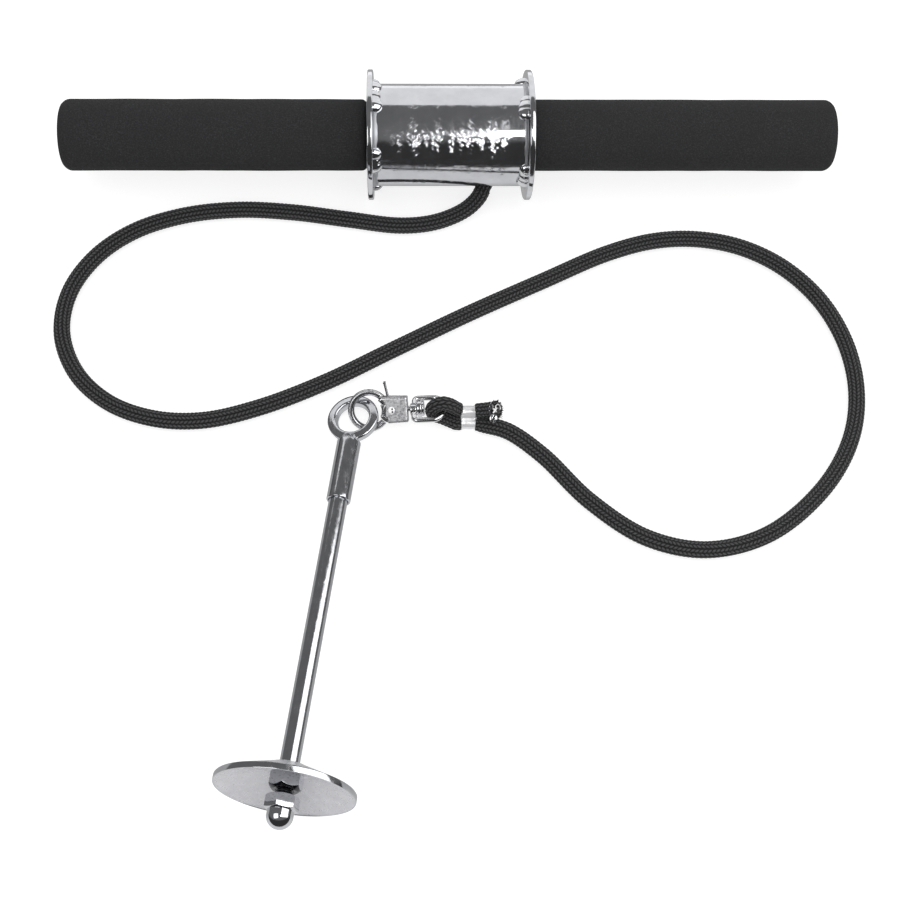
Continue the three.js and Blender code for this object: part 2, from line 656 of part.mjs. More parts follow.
function buildPlateAndNuts(group) {
  const boreRadius = threadDiameter / 2 + fitGap;
  const face = plateBack + plateThickness;
  const plate = [[boreRadius, plateBack], ...dishedFace(0), ...dishedFace(plateThickness).reverse(),
    [boreRadius, face], [boreRadius, plateBack]];
  piece(group, 'pin_plate', turnedAlongX(plate), scuffedChrome);
  const bore = turnedAlongX(discProfile(boreRadius, plateBack, acornStart), smallSegments);
  const hexNut = hexPiece(nutStart, nutHeight, nutAcrossFlats, nutChamfer, nutTurn);
  piece(group, 'hex_nut', cut(hexNut, bore), chrome);
  const dome = acornDomeDiameter / 2;
  const domeStart = acornStart + acornHexHeight;
  const ballStart = acornStart + acornHeight - dome;
  const corner = nutAcrossFlats / Math.sqrt(3);
  const crown = [[corner + 0.1, domeStart - nutChamfer], [dome + 0.4, domeStart], [dome, domeStart + 0.4],
    ...arcPoints(0, 0, dome, 0, 90, 6).map(([r, y]) => [r > 1e-6 ? r : 0, ballStart + y])];
  const threadEnd = acornStart + threadInAcorn + fitGap;
  const threadHoleProfile = discProfile(threadDiameter / 2 + fineGap, acornStart - 1, threadEnd);
  const threadHole = turnedAlongX(threadHoleProfile, smallSegments);
  const acorn = hexPiece(acornStart, acornHexHeight, nutAcrossFlats, nutChamfer, acornTurn, crown);
  piece(group, 'acorn_nut', cut(acorn, threadHole), chrome);
}

function buildPin(group) {
  buildPinEye(group);
  buildRod(group);
  buildPlateAndNuts(group);
}

// Each assembly is built in its own frame and laid on the floor

function placed(build, position, x, y, z) {
  const group = new THREE.Group();
  group.position.set(...position);
  group.rotation.set(x, y, z, 'ZYX');
  build(group);
  return group;
}

// The rise that lets the plate's rim just clear the floor
function pinRise() {
  const rim = plateDiameter / 2;
  const reach = plateBack + plateDish;
  return Math.atan2(rim, reach) + Math.asin((plateLift - pinMiddle[2]) / Math.hypot(reach, rim));
}

const layout = new THREE.Group();
layout.add(buildRoller());
layout.add(placed(buildCords, [0, 0, 0], 0, 0, 0));
const swivelMiddle = [hookMiddle[0], hookMiddle[1] - swivelPlay, hookMiddle[2]];
layout.add(placed(buildSwivelEye, swivelMiddle, radians(swivelTilt), radians(-hookRise), 0));
layout.add(placed(buildHook, hookMiddle, radians(hookTilt), radians(-hookRise), 0));
layout.add(placed(buildPin, pinMiddle, radians(pinRoll), -pinRise(), radians(-90 - pinHeading)));

// The origin is under the middle of everything but the rope and what is crimped on it
const cordNames = ['rope', 'rope_eye', 'rope_tail', 'ferrule', 'tail_wire', 'tail_screw'];
layout.updateMatrixWorld(true);
const extent = new THREE.Box3();
layout.traverse((node) => {
  if (node.isMesh && !cordNames.includes(node.name)) extent.expandByObject(node, true);
});
const middleOfAll = extent.getCenter(new THREE.Vector3());
layout.position.set(-middleOfAll.x, -middleOfAll.y, -extent.min.z);

export default layout;
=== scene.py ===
"""Looks of a wrist roller that is laid out on the floor: a chromed drum with two foam grips, a
braided rope with a crimped eye, a swivel snap hook and a loading pin. Metres, +Z up, +X along
the bar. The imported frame's joints, mounts and boxes say where each piece goes."""

import functools
import json
import math

import bmesh
import bpy
import numpy as np
from mathutils import Matrix, Vector, noise


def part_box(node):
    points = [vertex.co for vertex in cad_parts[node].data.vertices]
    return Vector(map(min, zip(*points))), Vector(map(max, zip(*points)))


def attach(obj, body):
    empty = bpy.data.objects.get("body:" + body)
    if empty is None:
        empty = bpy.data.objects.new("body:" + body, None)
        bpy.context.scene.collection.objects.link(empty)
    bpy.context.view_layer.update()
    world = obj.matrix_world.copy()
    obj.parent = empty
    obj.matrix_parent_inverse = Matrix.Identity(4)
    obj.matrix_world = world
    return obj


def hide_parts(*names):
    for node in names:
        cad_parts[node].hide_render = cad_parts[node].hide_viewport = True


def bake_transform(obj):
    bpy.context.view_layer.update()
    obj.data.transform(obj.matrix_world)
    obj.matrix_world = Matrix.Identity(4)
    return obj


# Camera, from the point on the floor under the bar's middle
CAMERA_PLACE = (-0.0208, -0.4813, 0.7839)
CAMERA_YAW = 1.358
CAMERA_PITCH = 21.756
CAMERA_ROLL = -0.733
CAMERA_LENS = 65.1
CAMERA_SENSOR = 36

# Detail of round pieces
ROUND_STEPS = 144
FINE_STEPS = 96
SMALL_STEPS = 48
EDGE_STEPS = 5
SHARP_ANGLE = 38
BLUNT_ANGLE = 50

# Drum, flanges, welds and grips
DRUM_WALL = 0.0025
DRUM_EDGE = 0.0004
DRUM_SLICES = 150
ROPE_HOLE_X = 0.0198
ROPE_HOLE_DIAMETER = 0.0124
ROPE_HOLE_ANGLE = 225
FLANGE_EDGE = 0.0007
BEAD_HEIGHT = 0.0034
BEAD_WIDTH = 0.0056
BEAD_SINK = 0.0008
BEAD_VOXEL = 0.00022
WELD_SINK = 0.0004
LEFT_FILLET = 0.0026
RIGHT_FILLET = 0.0015
FLANGE_LEAN = 1.6
GROUND_COLUMNS = (
    (-0.0265, 0.004, 0.45), (-0.0185, 0.0032, 1.0), (-0.0135, 0.0024, 0.75), (-0.0085, 0.002, 0.55),
    (-0.0058, 0.0022, 0.9), (0.0006, 0.0018, 0.8), (0.0054, 0.0018, 0.55), (0.0108, 0.0026, 1.0),
    (0.0165, 0.0024, 0.75), (0.0218, 0.0028, 0.85), (0.0277, 0.0024, 1.0),
)
GROUND_FROM = (98, 112)
GROUND_TO = (158, 168)
STROKE_MIDDLE = 0.004
STROKE_LEAN = 0.8
STROKE_PITCH = 0.0012
STROKE_WANDER = 0.0016
STROKE_TILT = 0.5
STROKE_ASIDE = 0.14
LEFT_BEADS = ((50, 17), (83, 15), (152, 16), (222, 15), (292, 17), (350, 14))
RIGHT_BEADS = ((91, 16), (175, 19), (245, 15), (315, 17), (20, 15))
GRIP_CORNER = 0.005
GRIP_CROWN = 0.0016
GRIP_INNER_ROUND = 0.003
GRIP_BORE_DIAMETER = 0.0226
GRIP_SLICES = 60
GRIP_RECESS = 0.02
GRIP_RECESS_ROOM = 0.004

# Rope: its braid, its way down from the drum and over the floor, its eye, tail and knot
ROPE_DIAMETER = 0.009
PLAIT_COLUMNS = 12
PLAIT_PITCH = 0.0021
PLAIT_LEAN = 0.9
PLAIT_RELIEF = 0.0006
SIDES_PER_COLUMN = 4
ROPE_STEP = 0.00056
LEAD_LENGTH = 0.0562
ROPE_LIFT = 0.0046
ROPE_DESCENT = (
    (0.0185, -0.0209, 0.0135), (0.0162, -0.0241, 0.0103), (0.0105, -0.0286, 0.0068),
    (0.002, -0.0328, 0.0048),
)
ROPE_ON_FLOOR = (
    (-0.01, -0.0369), (-0.027, -0.0384), (-0.055, -0.0346), (-0.085, -0.0302), (-0.115, -0.0286),
    (-0.145, -0.0324), (-0.171, -0.0421), (-0.1906, -0.0579), (-0.2029, -0.0793), (-0.205, -0.1035),
    (-0.1955, -0.1268), (-0.1775, -0.1434), (-0.154, -0.1522), (-0.1289, -0.1533), (-0.1, -0.1462),
    (-0.066, -0.132), (-0.03, -0.113), (0.01, -0.092), (0.05, -0.0726), (0.086, -0.0556),
    (0.112, -0.048), (0.136, -0.047), (0.16, -0.0524), (0.182, -0.0652), (0.2, -0.0856),
    (0.211, -0.112), (0.2133, -0.14), (0.207, -0.1665), (0.19, -0.193), (0.16, -0.217),
    (0.128, -0.225), (0.098, -0.2184), (0.07, -0.1985), (0.047, -0.1736), (0.03, -0.1603),
    (0.02, -0.1569), (0.0126, -0.1558),
)
ROPE_ROUTE = (*ROPE_DESCENT, *((x, y, ROPE_LIFT) for x, y in ROPE_ON_FLOOR))
EYE_DIAMETER = 0.0077
EYE_ROUTE = (
    (0.0052, -0.1494, 0.0084), (0.0036, -0.1494, 0.0089), (0.0015, -0.1494, 0.0114),
    (-0.0012, -0.1494, 0.015), (-0.0046, -0.1493, 0.0165), (-0.008, -0.1498, 0.0151),
    (-0.0101, -0.1507, 0.0111), (-0.0083, -0.1516, 0.0071), (-0.0046, -0.1523, 0.0054),
    (-0.0008, -0.1536, 0.0044), (0.0026, -0.1549, 0.0039), (0.0052, -0.155, 0.0039),
)
TAIL_DIAMETER = 0.0079
TAIL_FLARE = 0.34
TAIL_SLANT = 0.8
TAIL_ROUTE = ((0.0124, -0.1509, 0.0108), (0.016, -0.1508, 0.0112), (0.0195, -0.1506, 0.0112),
              (0.0235, -0.1504, 0.011))
STUB_DIAMETER = 0.008
KNOT_SIZE = (0.019, 0.0123, 0.016)
ROPE_EXIT_LEAN = 27

# Ferrule, tail binding and screw
FERRULE_MIDDLE = (0.0088, -0.1524, 0.0054)
FERRULE_LENGTH = 0.008
FERRULE_LOBE = 0.0036
FERRULE_SPACING = 0.0058
FERRULE_LEAN = 35
FERRULE_WAIST = 0.0023
FERRULE_INSETS = ((0.3, 0.00032), (0.66, 0.00035), (0.74, 0.00025), (0.8, 0), (0.9, 0), (0.96, 0.0003),
                  (1, 0.0009))
WIRE_DIAMETER = 0.0009
LOOP_WIRE = 0.0006
LOOP_RADIUS = 0.0018
LOOP_SIDE = -0.0008
LOOP_RISE = 0.0002
CROSS_WIRES = (((0.0017, 0.0044), (-0.0007, 0.0018)), ((-0.0003, 0.0041), (0.0012, 0.0022)))
SCREW_DIAMETER = 0.0044
SCREW_LENGTH = 0.0034
SCREW_SLOT = 0.0009
SLOT_DEPTH = 0.0009
SCREW_PLACE = (0.0214, -0.1567, 0.0142)
SCREW_LEAN = 24

# Swivel eye and post, in the hook's frame
SWIVEL_TILT = -47
SWIVEL_PLAY = 0.0005
SWIVEL_START = 0.0234
SWIVEL_END = 0.041
SWIVEL_HALF_WIDTH = 0.0086
SWIVEL_BAR = 0.0028
SWIVEL_LEFT_ROUND = 0.0026
SWIVEL_RIGHT_ROUND = 0.0064
BOSS_DIAMETER = 0.0064
BOSS_STAND_OUT = 0.0005
POST_DIAMETER = 0.003
POST_START = 0.0181
HEAD_START = 0.0265
HEAD_DIAMETER = 0.0092
HEAD_THICKNESS = 0.0024
TIER_DIAMETER = 0.0082
TIER_THICKNESS = 0.0011
HOOK_RING_REACH = 0.0096
POLISHED_BORDER = 0.001
ZINC_COLOUR = (0.88, 0.88, 0.9)
RIVET_X = 0.0133
RIVET_DIAMETER = 0.002
RIVET_HEAD = 0.0036
RIVET_HEAD_HEIGHT = 0.0007
RIVET_MARK = 0.0005
RIVET_MARKS_X = 0.0138
DIE_EDGE = 0.0005
BODY_THICKNESS = 0.007
CAST_VOXEL = 0.00018
TRIGGER_VOXEL = 0.00014

# Loading pin, in its own frame: x along the rod from the ring's middle
SEAT_REACH = 0.189
PIN_ROLL = 14
RING_OUTER_RADIUS = 0.01325
RING_BAND = 0.0047
RING_STEPS = 160
RING_SIDES = 48
NECK_END = 0.019
RING_VOXEL = 0.00024
SLEEVE_DIAMETER = 0.0122
SLEEVE_END = 0.0485
SLEEVE_SHOULDER = 0.0024
SLEEVE_EDGE = 0.0006
ROD_DIAMETER = 0.0095
ROD_START = 0.03
THREAD_DIAMETER = 0.0084
THREAD_PITCH = 0.0013
THREAD_DEPTH = 0.0006
PLATE_BACK = 0.1881
PLATE_DIAMETER = 0.0668
PLATE_THICKNESS = 0.003
PLATE_DISH = 0.0096
PLATE_SEAT_RADIUS = 0.009
PLATE_EDGE = 0.0007
BORE_RADIUS = 0.0044
NUT_FLATS = 0.0143
NUT_CORNER = NUT_FLATS / math.sqrt(3)
NUT_START = 0.19125
NUT_HEIGHT = 0.0084
NUT_END_RADIUS = 0.0061
NUT_TURN = -35
ACORN_START = 0.20245
ACORN_HEX_HEIGHT = 0.0065
ACORN_TURN = -29
ACORN_HEIGHT = 0.0153
ACORN_DOME_DIAMETER = 0.0125

# Studio
FLOOR_SIZE = 12
ROOM_LEVEL = 1.12
WALL_LEVEL = 0.72
GROUND_LEVEL = 0.84
FAR_GROUND_LEVEL = 0.5
CEILING_LEVEL = 0.17
FRONT_LEVEL = 0.045
FLOOR_GLOW = 0.72
HORIZON = -0.25
EDGE_BLUR = 0.03
SEED = 7

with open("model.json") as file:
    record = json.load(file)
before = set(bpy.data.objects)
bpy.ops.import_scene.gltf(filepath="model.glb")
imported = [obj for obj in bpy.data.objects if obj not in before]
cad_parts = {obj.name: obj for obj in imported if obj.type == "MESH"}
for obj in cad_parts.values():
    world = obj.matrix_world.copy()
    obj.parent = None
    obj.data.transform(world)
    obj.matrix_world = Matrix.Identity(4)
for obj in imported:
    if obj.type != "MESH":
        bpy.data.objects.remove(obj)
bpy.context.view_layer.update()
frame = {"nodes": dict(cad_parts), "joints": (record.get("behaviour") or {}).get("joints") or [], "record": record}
joints = {joint["name"]: joint for joint in frame["joints"]}
mounts = {mount["name"]: mount for mount in frame["record"]["mounts"]}
collection = bpy.context.scene.collection
roller_middle = Vector(joints["bar_roll"]["pos_m"])
bar_floor = Vector((roller_middle.x, roller_middle.y, 0))
drum_low, drum_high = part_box("drum")
drum_radius = (drum_high.z - drum_low.z) / 2
flange_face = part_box("flange_right")[0].x


# Frames of the assemblies

def shift(x=0, y=0, z=0):
    return Matrix.Translation((x, y, z))


def rotation(degrees, axis):
    return Matrix.Rotation(math.radians(degrees), 4, axis)


def frame_of(origin, x_axis, z_axis):
    """A placing matrix from an origin and two axes."""
    x = Vector(x_axis).normalized()
    z = (Vector(z_axis) - x * x.dot(Vector(z_axis))).normalized()
    y = z.cross(x)
    turn = Matrix((x, y, z)).transposed()
    return Matrix.Translation(origin) @ turn.to_4x4()


def hook_frame():
    swivel = joints["hook_swivel"]
    trigger = joints["trigger_pull"]
    return frame_of(swivel["pos_m"], -Vector(swivel["axis"]), -Vector(trigger["axis"]))


def pin_frame():
    seat = mounts["weight_seat"]
    to_ring = Vector(seat["axis"]).normalized()
    ring_middle = Vector(seat["pos_m"]) + to_ring * SEAT_REACH
    level = frame_of(ring_middle, -to_ring, (0, 0, 1))
    return level @ rotation(PIN_ROLL, "X")


HOOK = hook_frame()
PIN = pin_frame()
SWIVEL = shift(y=-SWIVEL_PLAY) @ HOOK @ rotation(SWIVEL_TILT, "X")
ROLLER = Matrix.Translation(roller_middle)
FLOOR = Matrix.Translation(bar_floor)


# Materials

def new_material(name, colour, metallic, roughness, coordinates="Object", **sockets):
    """A material, and the nodes to dress it with."""
    material = bpy.data.materials.new(name)
    material.use_nodes = True
    nodes = Nodes(material.node_tree, coordinates)
    values = {"Base Color": (*colour, 1), "Metallic": metallic, "Roughness": roughness,
              **{socket.replace("_", " "): value for socket, value in sockets.items()}}
    for socket, value in values.items():
        nodes.shader.inputs[socket].default_value = value
    return material, nodes


class Nodes:
    """Short words for the nodes of one tree."""

    def __init__(self, tree, coordinates):
        self.tree = tree
        self.shader = tree.nodes.get("Principled BSDF")
        self.coordinates = coordinates
        self.normal = None

    @functools.cached_property
    def place(self):
        return self.new("ShaderNodeTexCoord").outputs[self.coordinates]

    def new(self, kind, **settings):
        node = self.tree.nodes.new(kind)
        for name, value in settings.items():
            setattr(node, name, value)
        return node

    def feed(self, socket, value):
        if isinstance(value, bpy.types.NodeSocket):
            self.tree.links.new(value, socket)
        else:
            socket.default_value = value

    def filled(self, node, **values):
        """The node after its inputs are fed; an underscore in a name stands for a space."""
        for name, value in values.items():
            self.feed(node.inputs[name.replace("_", " ")], value)
        return node

    def attribute(self, name):
        return self.new("ShaderNodeAttribute", attribute_name=name).outputs["Fac"]

    def split(self):
        """The three coordinates of the place."""
        return self.filled(self.new("ShaderNodeSeparateXYZ"), Vector=self.place).outputs

    def stretched(self, scale):
        mapping = self.filled(self.new("ShaderNodeMapping"), Vector=self.place, Scale=scale)
        return mapping.outputs["Vector"]

    def noise(self, scale, detail=2, roughness=0.5, place=None):
        texture = self.new("ShaderNodeTexNoise")
        self.filled(texture, Vector=place or self.place, Scale=scale, Detail=detail, Roughness=roughness)
        return texture.outputs["Fac"]

    def cells(self, scale):
        texture = self.filled(self.new("ShaderNodeTexVoronoi"), Vector=self.place, Scale=scale)
        return texture.outputs["Distance"]

    def math(self, operation, first, second=0.0):
        node = self.new("ShaderNodeMath", operation=operation)
        self.feed(node.inputs[0], first)
        self.feed(node.inputs[1], second)
        return node.outputs[0]

    def times(self, *values):
        return functools.reduce(functools.partial(self.math, "MULTIPLY"), values)

    def plus(self, first, second):
        return self.math("ADD", first, second)

    def minus(self, first, second):
        return self.math("SUBTRACT", first, second)

    def span(self, value, low, high, to_low=0.0, to_high=1.0):
        """The value's soft step from one level, at low, to another, at high."""
        node = self.new("ShaderNodeMapRange", interpolation_type="SMOOTHSTEP")
        self.filled(node, Value=value, From_Min=low, From_Max=high, To_Min=to_low, To_Max=to_high)
        return node.outputs["Result"]

    def blend(self, share, first, second):
        node = self.new("ShaderNodeMix", data_type="RGBA")
        self.feed(node.inputs["Factor"], share)
        colours = [socket for socket in node.inputs if socket.type == "RGBA"]
        for socket, value in zip(colours, (first, second)):
            self.feed(socket, value if isinstance(value, bpy.types.NodeSocket) else (*value, 1))
        return [socket for socket in node.outputs if socket.type == "RGBA"][0]

    def colour(self, value):
        self.feed(self.shader.inputs["Base Color"], value)

    def roughness(self, value):
        self.feed(self.shader.inputs["Roughness"], value)

    def turned(self, normal):
        self.normal = normal
        self.feed(self.shader.inputs["Normal"], normal)

    def tilted(self, along, around):
        """Tilts the surface by two slopes, along and around, in the directions of the UV map."""
        halves = [self.plus(self.times(slope, 0.5), 0.5) for slope in (along, around)]
        lean = self.filled(self.new("ShaderNodeCombineXYZ"), X=halves[0], Y=halves[1], Z=1.0)
        node = self.new("ShaderNodeNormalMap", space="TANGENT", uv_map="UVMap")
        self.turned(self.filled(node, Color=lean.outputs[0]).outputs["Normal"])

    def bump(self, height, depth, strength=1.0):
        node = self.filled(self.new("ShaderNodeBump"), Height=height, Distance=depth, Strength=strength)
        if self.normal is not None:
            self.feed(node.inputs["Normal"], self.normal)
        self.turned(node.outputs["Normal"])


def bright_plating(name, colour, low_rough, high_rough, wave=0.00006):
    """Chrome plating on welded steel: a little orange peel, hairline wipes and dull spots."""
    material, nodes = new_material(name, colour, 1.0, low_rough)
    dull = nodes.noise(160, 4, 0.6)
    wipes = nodes.noise(900, 3, 0.7, nodes.stretched((1, 0.12, 1)))
    nodes.roughness(nodes.span(nodes.times(dull, wipes), 0.12, 0.42, low_rough, high_rough))
    cloud = nodes.span(nodes.noise(220, 3), 0.3, 0.75)
    nodes.colour(nodes.blend(cloud, [c * 0.9 for c in colour], colour))
    nodes.bump(nodes.noise(110, 2), wave)
    nodes.bump(nodes.noise(1500, 2), 0.000012, 0.6)
    return material


def scuffed_drum():
    """Plating over a tube that was ground by hand: short strokes in columns, plain between them."""
    material, nodes = new_material("drum_plating", (0.74, 0.75, 0.78), 1.0, 0.1, "UV")
    along, around, _ = nodes.split()
    from_middle = nodes.math("ABSOLUTE", nodes.minus(along, STROKE_MIDDLE))
    wander = nodes.times(nodes.noise(150, 1), STROKE_WANDER)
    slanted = nodes.plus(nodes.minus(around, nodes.times(from_middle, STROKE_LEAN)), wander)
    strokes = nodes.math("SINE", nodes.times(slanted, 2 * math.pi / STROKE_PITCH))
    broken = nodes.span(nodes.noise(330, 2), 0.36, 0.5)
    cut = nodes.times(nodes.span(strokes, -0.3, 0.5), broken, nodes.attribute("ground"))
    spread = nodes.span(nodes.noise(520, 1), 0.3, 0.68, -0.2, 1.4)
    nodes.tilted(nodes.times(cut, STROKE_ASIDE), nodes.times(cut, spread, -STROKE_TILT))
    smoky = nodes.span(nodes.noise(60, 3, 0.6), 0.3, 0.7)
    nodes.colour(nodes.blend(smoky, (0.7, 0.71, 0.74), (0.78, 0.79, 0.82)))
    hairs = nodes.noise(1500, 2, place=nodes.stretched((1, 0.06, 1)))
    dulled = nodes.times(cut, nodes.span(hairs, 0.3, 0.7, 0.08, 0.2))
    nodes.roughness(nodes.plus(nodes.span(nodes.noise(400, 3), 0.3, 0.7, 0.07, 0.13), dulled))
    nodes.bump(nodes.noise(900, 2), 0.000008, 0.6)
    return material


def dull_plate():
    """Plain pale plating with small dark specks, as on the disc."""
    colour = (0.68, 0.68, 0.71)
    material, nodes = new_material("disc_plating", colour, 0.5, 0.3)
    cloud = nodes.span(nodes.noise(90, 4, 0.6), 0.3, 0.7)
    plain = nodes.blend(cloud, (0.6, 0.6, 0.63), colour)
    specks = nodes.minus(1.0, nodes.span(nodes.cells(420), 0.05, 0.16))
    rare = nodes.times(specks, nodes.span(nodes.noise(150, 1), 0.55, 0.62))
    nodes.colour(nodes.blend(rare, plain, (0.2, 0.2, 0.21)))
    nodes.roughness(nodes.span(nodes.noise(500, 3), 0.3, 0.7, 0.26, 0.4))
    nodes.bump(nodes.noise(900, 3), 0.00001, 0.7)
    return material


def cast_zinc():
    """A plated zinc casting: polished and light, or polished with a darker tone that is painted shade for dark
    reflections, or with its pitted dull skin.
    """
    material, nodes = new_material("cast_zinc", ZINC_COLOUR, 1.0, 0.12)
    pitted = nodes.attribute("pitted")
    pits = nodes.noise(900, 3, 0.6)
    skin = nodes.blend(nodes.span(pits, 0.34, 0.58), (0.46, 0.46, 0.48), (0.86, 0.86, 0.88))
    # The "dark" mark darkens the polished colour: painted shade standing in for the dark reflections on the hook's
    # ring and trigger.
    polished = nodes.blend(nodes.attribute("dark"), ZINC_COLOUR, (0.5, 0.5, 0.52))
    nodes.colour(nodes.blend(pitted, polished, skin))
    nodes.roughness(nodes.plus(nodes.times(pitted, 0.3), nodes.span(pits, 0.3, 0.7, 0.14, 0.08)))
    nodes.bump(nodes.times(nodes.noise(500, 2), nodes.plus(pitted, 0.15)), 0.0001)
    nodes.bump(nodes.times(pits, pitted), 0.00006, 0.8)
    return material


def pressed_aluminium():
    colour = (0.95, 0.95, 0.96)
    material, nodes = new_material("pressed_aluminium", colour, 0.55, 0.35)
    lines = nodes.noise(1400, 3, place=nodes.stretched((0.15, 1, 1)))
    nodes.roughness(nodes.span(lines, 0.3, 0.7, 0.28, 0.42))
    nodes.colour(nodes.blend(nodes.noise(400, 2), (0.86, 0.86, 0.88), colour))
    nodes.bump(lines, 0.00002, 0.6)
    nodes.bump(nodes.noise(260, 2), 0.00004, 0.6)
    return material


def closed_foam():
    """Matt black foam with open cells a third of a millimetre wide and grey dust in them."""
    dark, pale = (0.0155, 0.0155, 0.0165), (0.034, 0.034, 0.036)
    material, nodes = new_material("foam", dark, 0.0, 0.92, Specular_IOR_Level=0.25)
    grain = nodes.noise(1500, 3, 0.7)
    broad = nodes.span(nodes.noise(55, 4, 0.6), 0.25, 0.75, 0.6, 1.0)
    nodes.colour(nodes.blend(nodes.times(nodes.span(grain, 0.42, 0.72), broad), dark, pale))
    nodes.bump(nodes.cells(2100), 0.00016, 0.7)
    nodes.bump(grain, 0.0002, 0.6)
    return material


def braid(name, dark, pale, roughness=0.5):
    """Plaited filament yarn: the crests of the plaits catch the light, the grooves stay dark."""
    material, nodes = new_material(name, dark, 0.0, roughness, "UV", Specular_IOR_Level=0.45,
                                   Sheen_Weight=0.08)
    share, walked, _ = nodes.split()
    turn = nodes.times(share, PLAIT_COLUMNS)
    across = nodes.minus(nodes.math("FRACT", turn), 0.5)
    odd = nodes.math("MODULO", nodes.math("FLOOR", turn), 2.0)
    slant = nodes.times(nodes.minus(1.0, nodes.times(odd, 2.0)), across, PLAIT_LEAN)
    row = nodes.plus(nodes.math("DIVIDE", walked, PLAIT_PITCH), nodes.plus(slant, nodes.times(odd, 0.5)))
    along = nodes.minus(nodes.times(nodes.math("FRACT", row), 2.0), 1.0)
    belly, bulge = (nodes.minus(1.0, nodes.math("POWER", nodes.math("ABSOLUTE", value), power))
                    for value, power in ((nodes.times(across, 2.0), 2.0), (along, 2.5)))
    crest = nodes.times(belly, bulge)
    hairs = nodes.noise(1.0, 2, 0.7, nodes.stretched((260, 2600, 1)))
    lit = nodes.times(nodes.span(crest, 0.3, 0.95), nodes.span(hairs, 0.3, 0.7, 0.55, 1.0))
    nodes.colour(nodes.blend(lit, dark, pale))
    nodes.roughness(nodes.span(crest, 0.2, 0.9, 0.75, roughness))
    nodes.bump(crest, 0.0005)
    nodes.bump(hairs, 0.00006, 0.7)
    return material


def moulded_plastic():
    material, nodes = new_material("plug_plastic_and_painted_shade", (0.02, 0.02, 0.022), 0.0, 0.55)
    nodes.roughness(nodes.span(nodes.noise(800, 2), 0.3, 0.7, 0.45, 0.62))
    nodes.bump(nodes.noise(2200, 2), 0.00003, 0.6)
    return material


CHROME = bright_plating("chrome", (0.82, 0.83, 0.86), 0.05, 0.13)
PIN_CHROME = bright_plating("pin_chrome", (0.74, 0.75, 0.78), 0.07, 0.2, 0.00012)
WELD_CHROME = bright_plating("weld_chrome", (0.86, 0.87, 0.9), 0.05, 0.12, 0.0003)
FILLET_CHROME = bright_plating("fillet_chrome", (0.6, 0.61, 0.64), 0.45, 0.55)
DRUM_PLATING = scuffed_drum()
# Near-black plating used only as painted shade: on the thread past the lock nut and on the lock nut's end face, in
# the shadowed gap between the nuts.
PAINTED_SHADE_PLATING = bright_plating("painted_shade_plating", (0.09, 0.09, 0.1), 0.12, 0.3)
DISC_PLATING = dull_plate()
ZINC = cast_zinc()
ALUMINIUM = pressed_aluminium()
PEENED, _ = new_material("peened_metal", (0.97, 0.97, 0.98), 0.4, 0.55)
FOAM = closed_foam()
ROPE_BRAID = braid("rope_braid", (0.003, 0.003, 0.0035), (0.062, 0.062, 0.066))
FRAYED = braid("frayed_core", (0.3, 0.3, 0.3), (0.7, 0.7, 0.7), 0.7)
# Black plastic for the bar's plugs, also used as painted shade inside the screw's slot and the rivet's punch
# marks.
PLUG_PLASTIC_AND_SHADE = moulded_plastic()


# Making pieces

def arc(x, y, radius, start, end, steps=EDGE_STEPS):
    """Points of a round corner, from one angle in degrees to another."""
    angles = [math.radians(start + (end - start) * i / steps) for i in range(steps + 1)]
    return [(x + radius * math.cos(a), y + radius * math.sin(a)) for a in angles]


def first_corner(x, radius, edge, steps=EDGE_STEPS):
    """The round corner where a turned shape starts, at x."""
    return arc(x + edge, radius - edge, edge, 180, 90, steps)


def last_corner(x, radius, edge, low=0, steps=EDGE_STEPS):
    """The round corner where it ends, at x."""
    return arc(x - edge, radius - edge, edge, 90, low, steps)


def level_run(start, end, radius, count):
    """Points that part a straight run of a profile into so many steps, without its ends."""
    return [(start + (end - start) * i / count, radius) for i in range(1, count)]


def smooth_shaded(mesh, angle=SHARP_ANGLE):
    mesh.shade_smooth()
    mesh.set_sharp_from_angle(angle=math.radians(angle))


def linked(name, data):
    thing = bpy.data.objects.new(name, data)
    collection.objects.link(thing)
    return thing


def object_of(mesh, name, material):
    mesh.materials.append(material)
    return linked(name, mesh)


def piece_of(bm, name, material, place=None, turn_out=True):
    """A new object from a bmesh, with its place in its mesh."""
    if place is not None:
        bmesh.ops.transform(bm, matrix=place, verts=bm.verts)
    if turn_out:
        bmesh.ops.recalc_face_normals(bm, faces=bm.faces)
    mesh = bpy.data.meshes.new(name)
    bm.to_mesh(mesh)
    bm.free()
    smooth_shaded(mesh)
    return object_of(mesh, name, material)


def set_on(piece, body, slot, *nodes):
    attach(piece, body)
    if nodes:
        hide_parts(*nodes)
    return piece


def applied(piece):
    """The piece with its modifiers made part of its mesh."""
    bpy.context.view_layer.update()
    depsgraph = bpy.context.evaluated_depsgraph_get()
    mesh = bpy.data.meshes.new_from_object(piece.evaluated_get(depsgraph))
    piece.modifiers.clear()
    old = piece.data
    piece.data = mesh
    bpy.data.meshes.remove(old)
    return piece


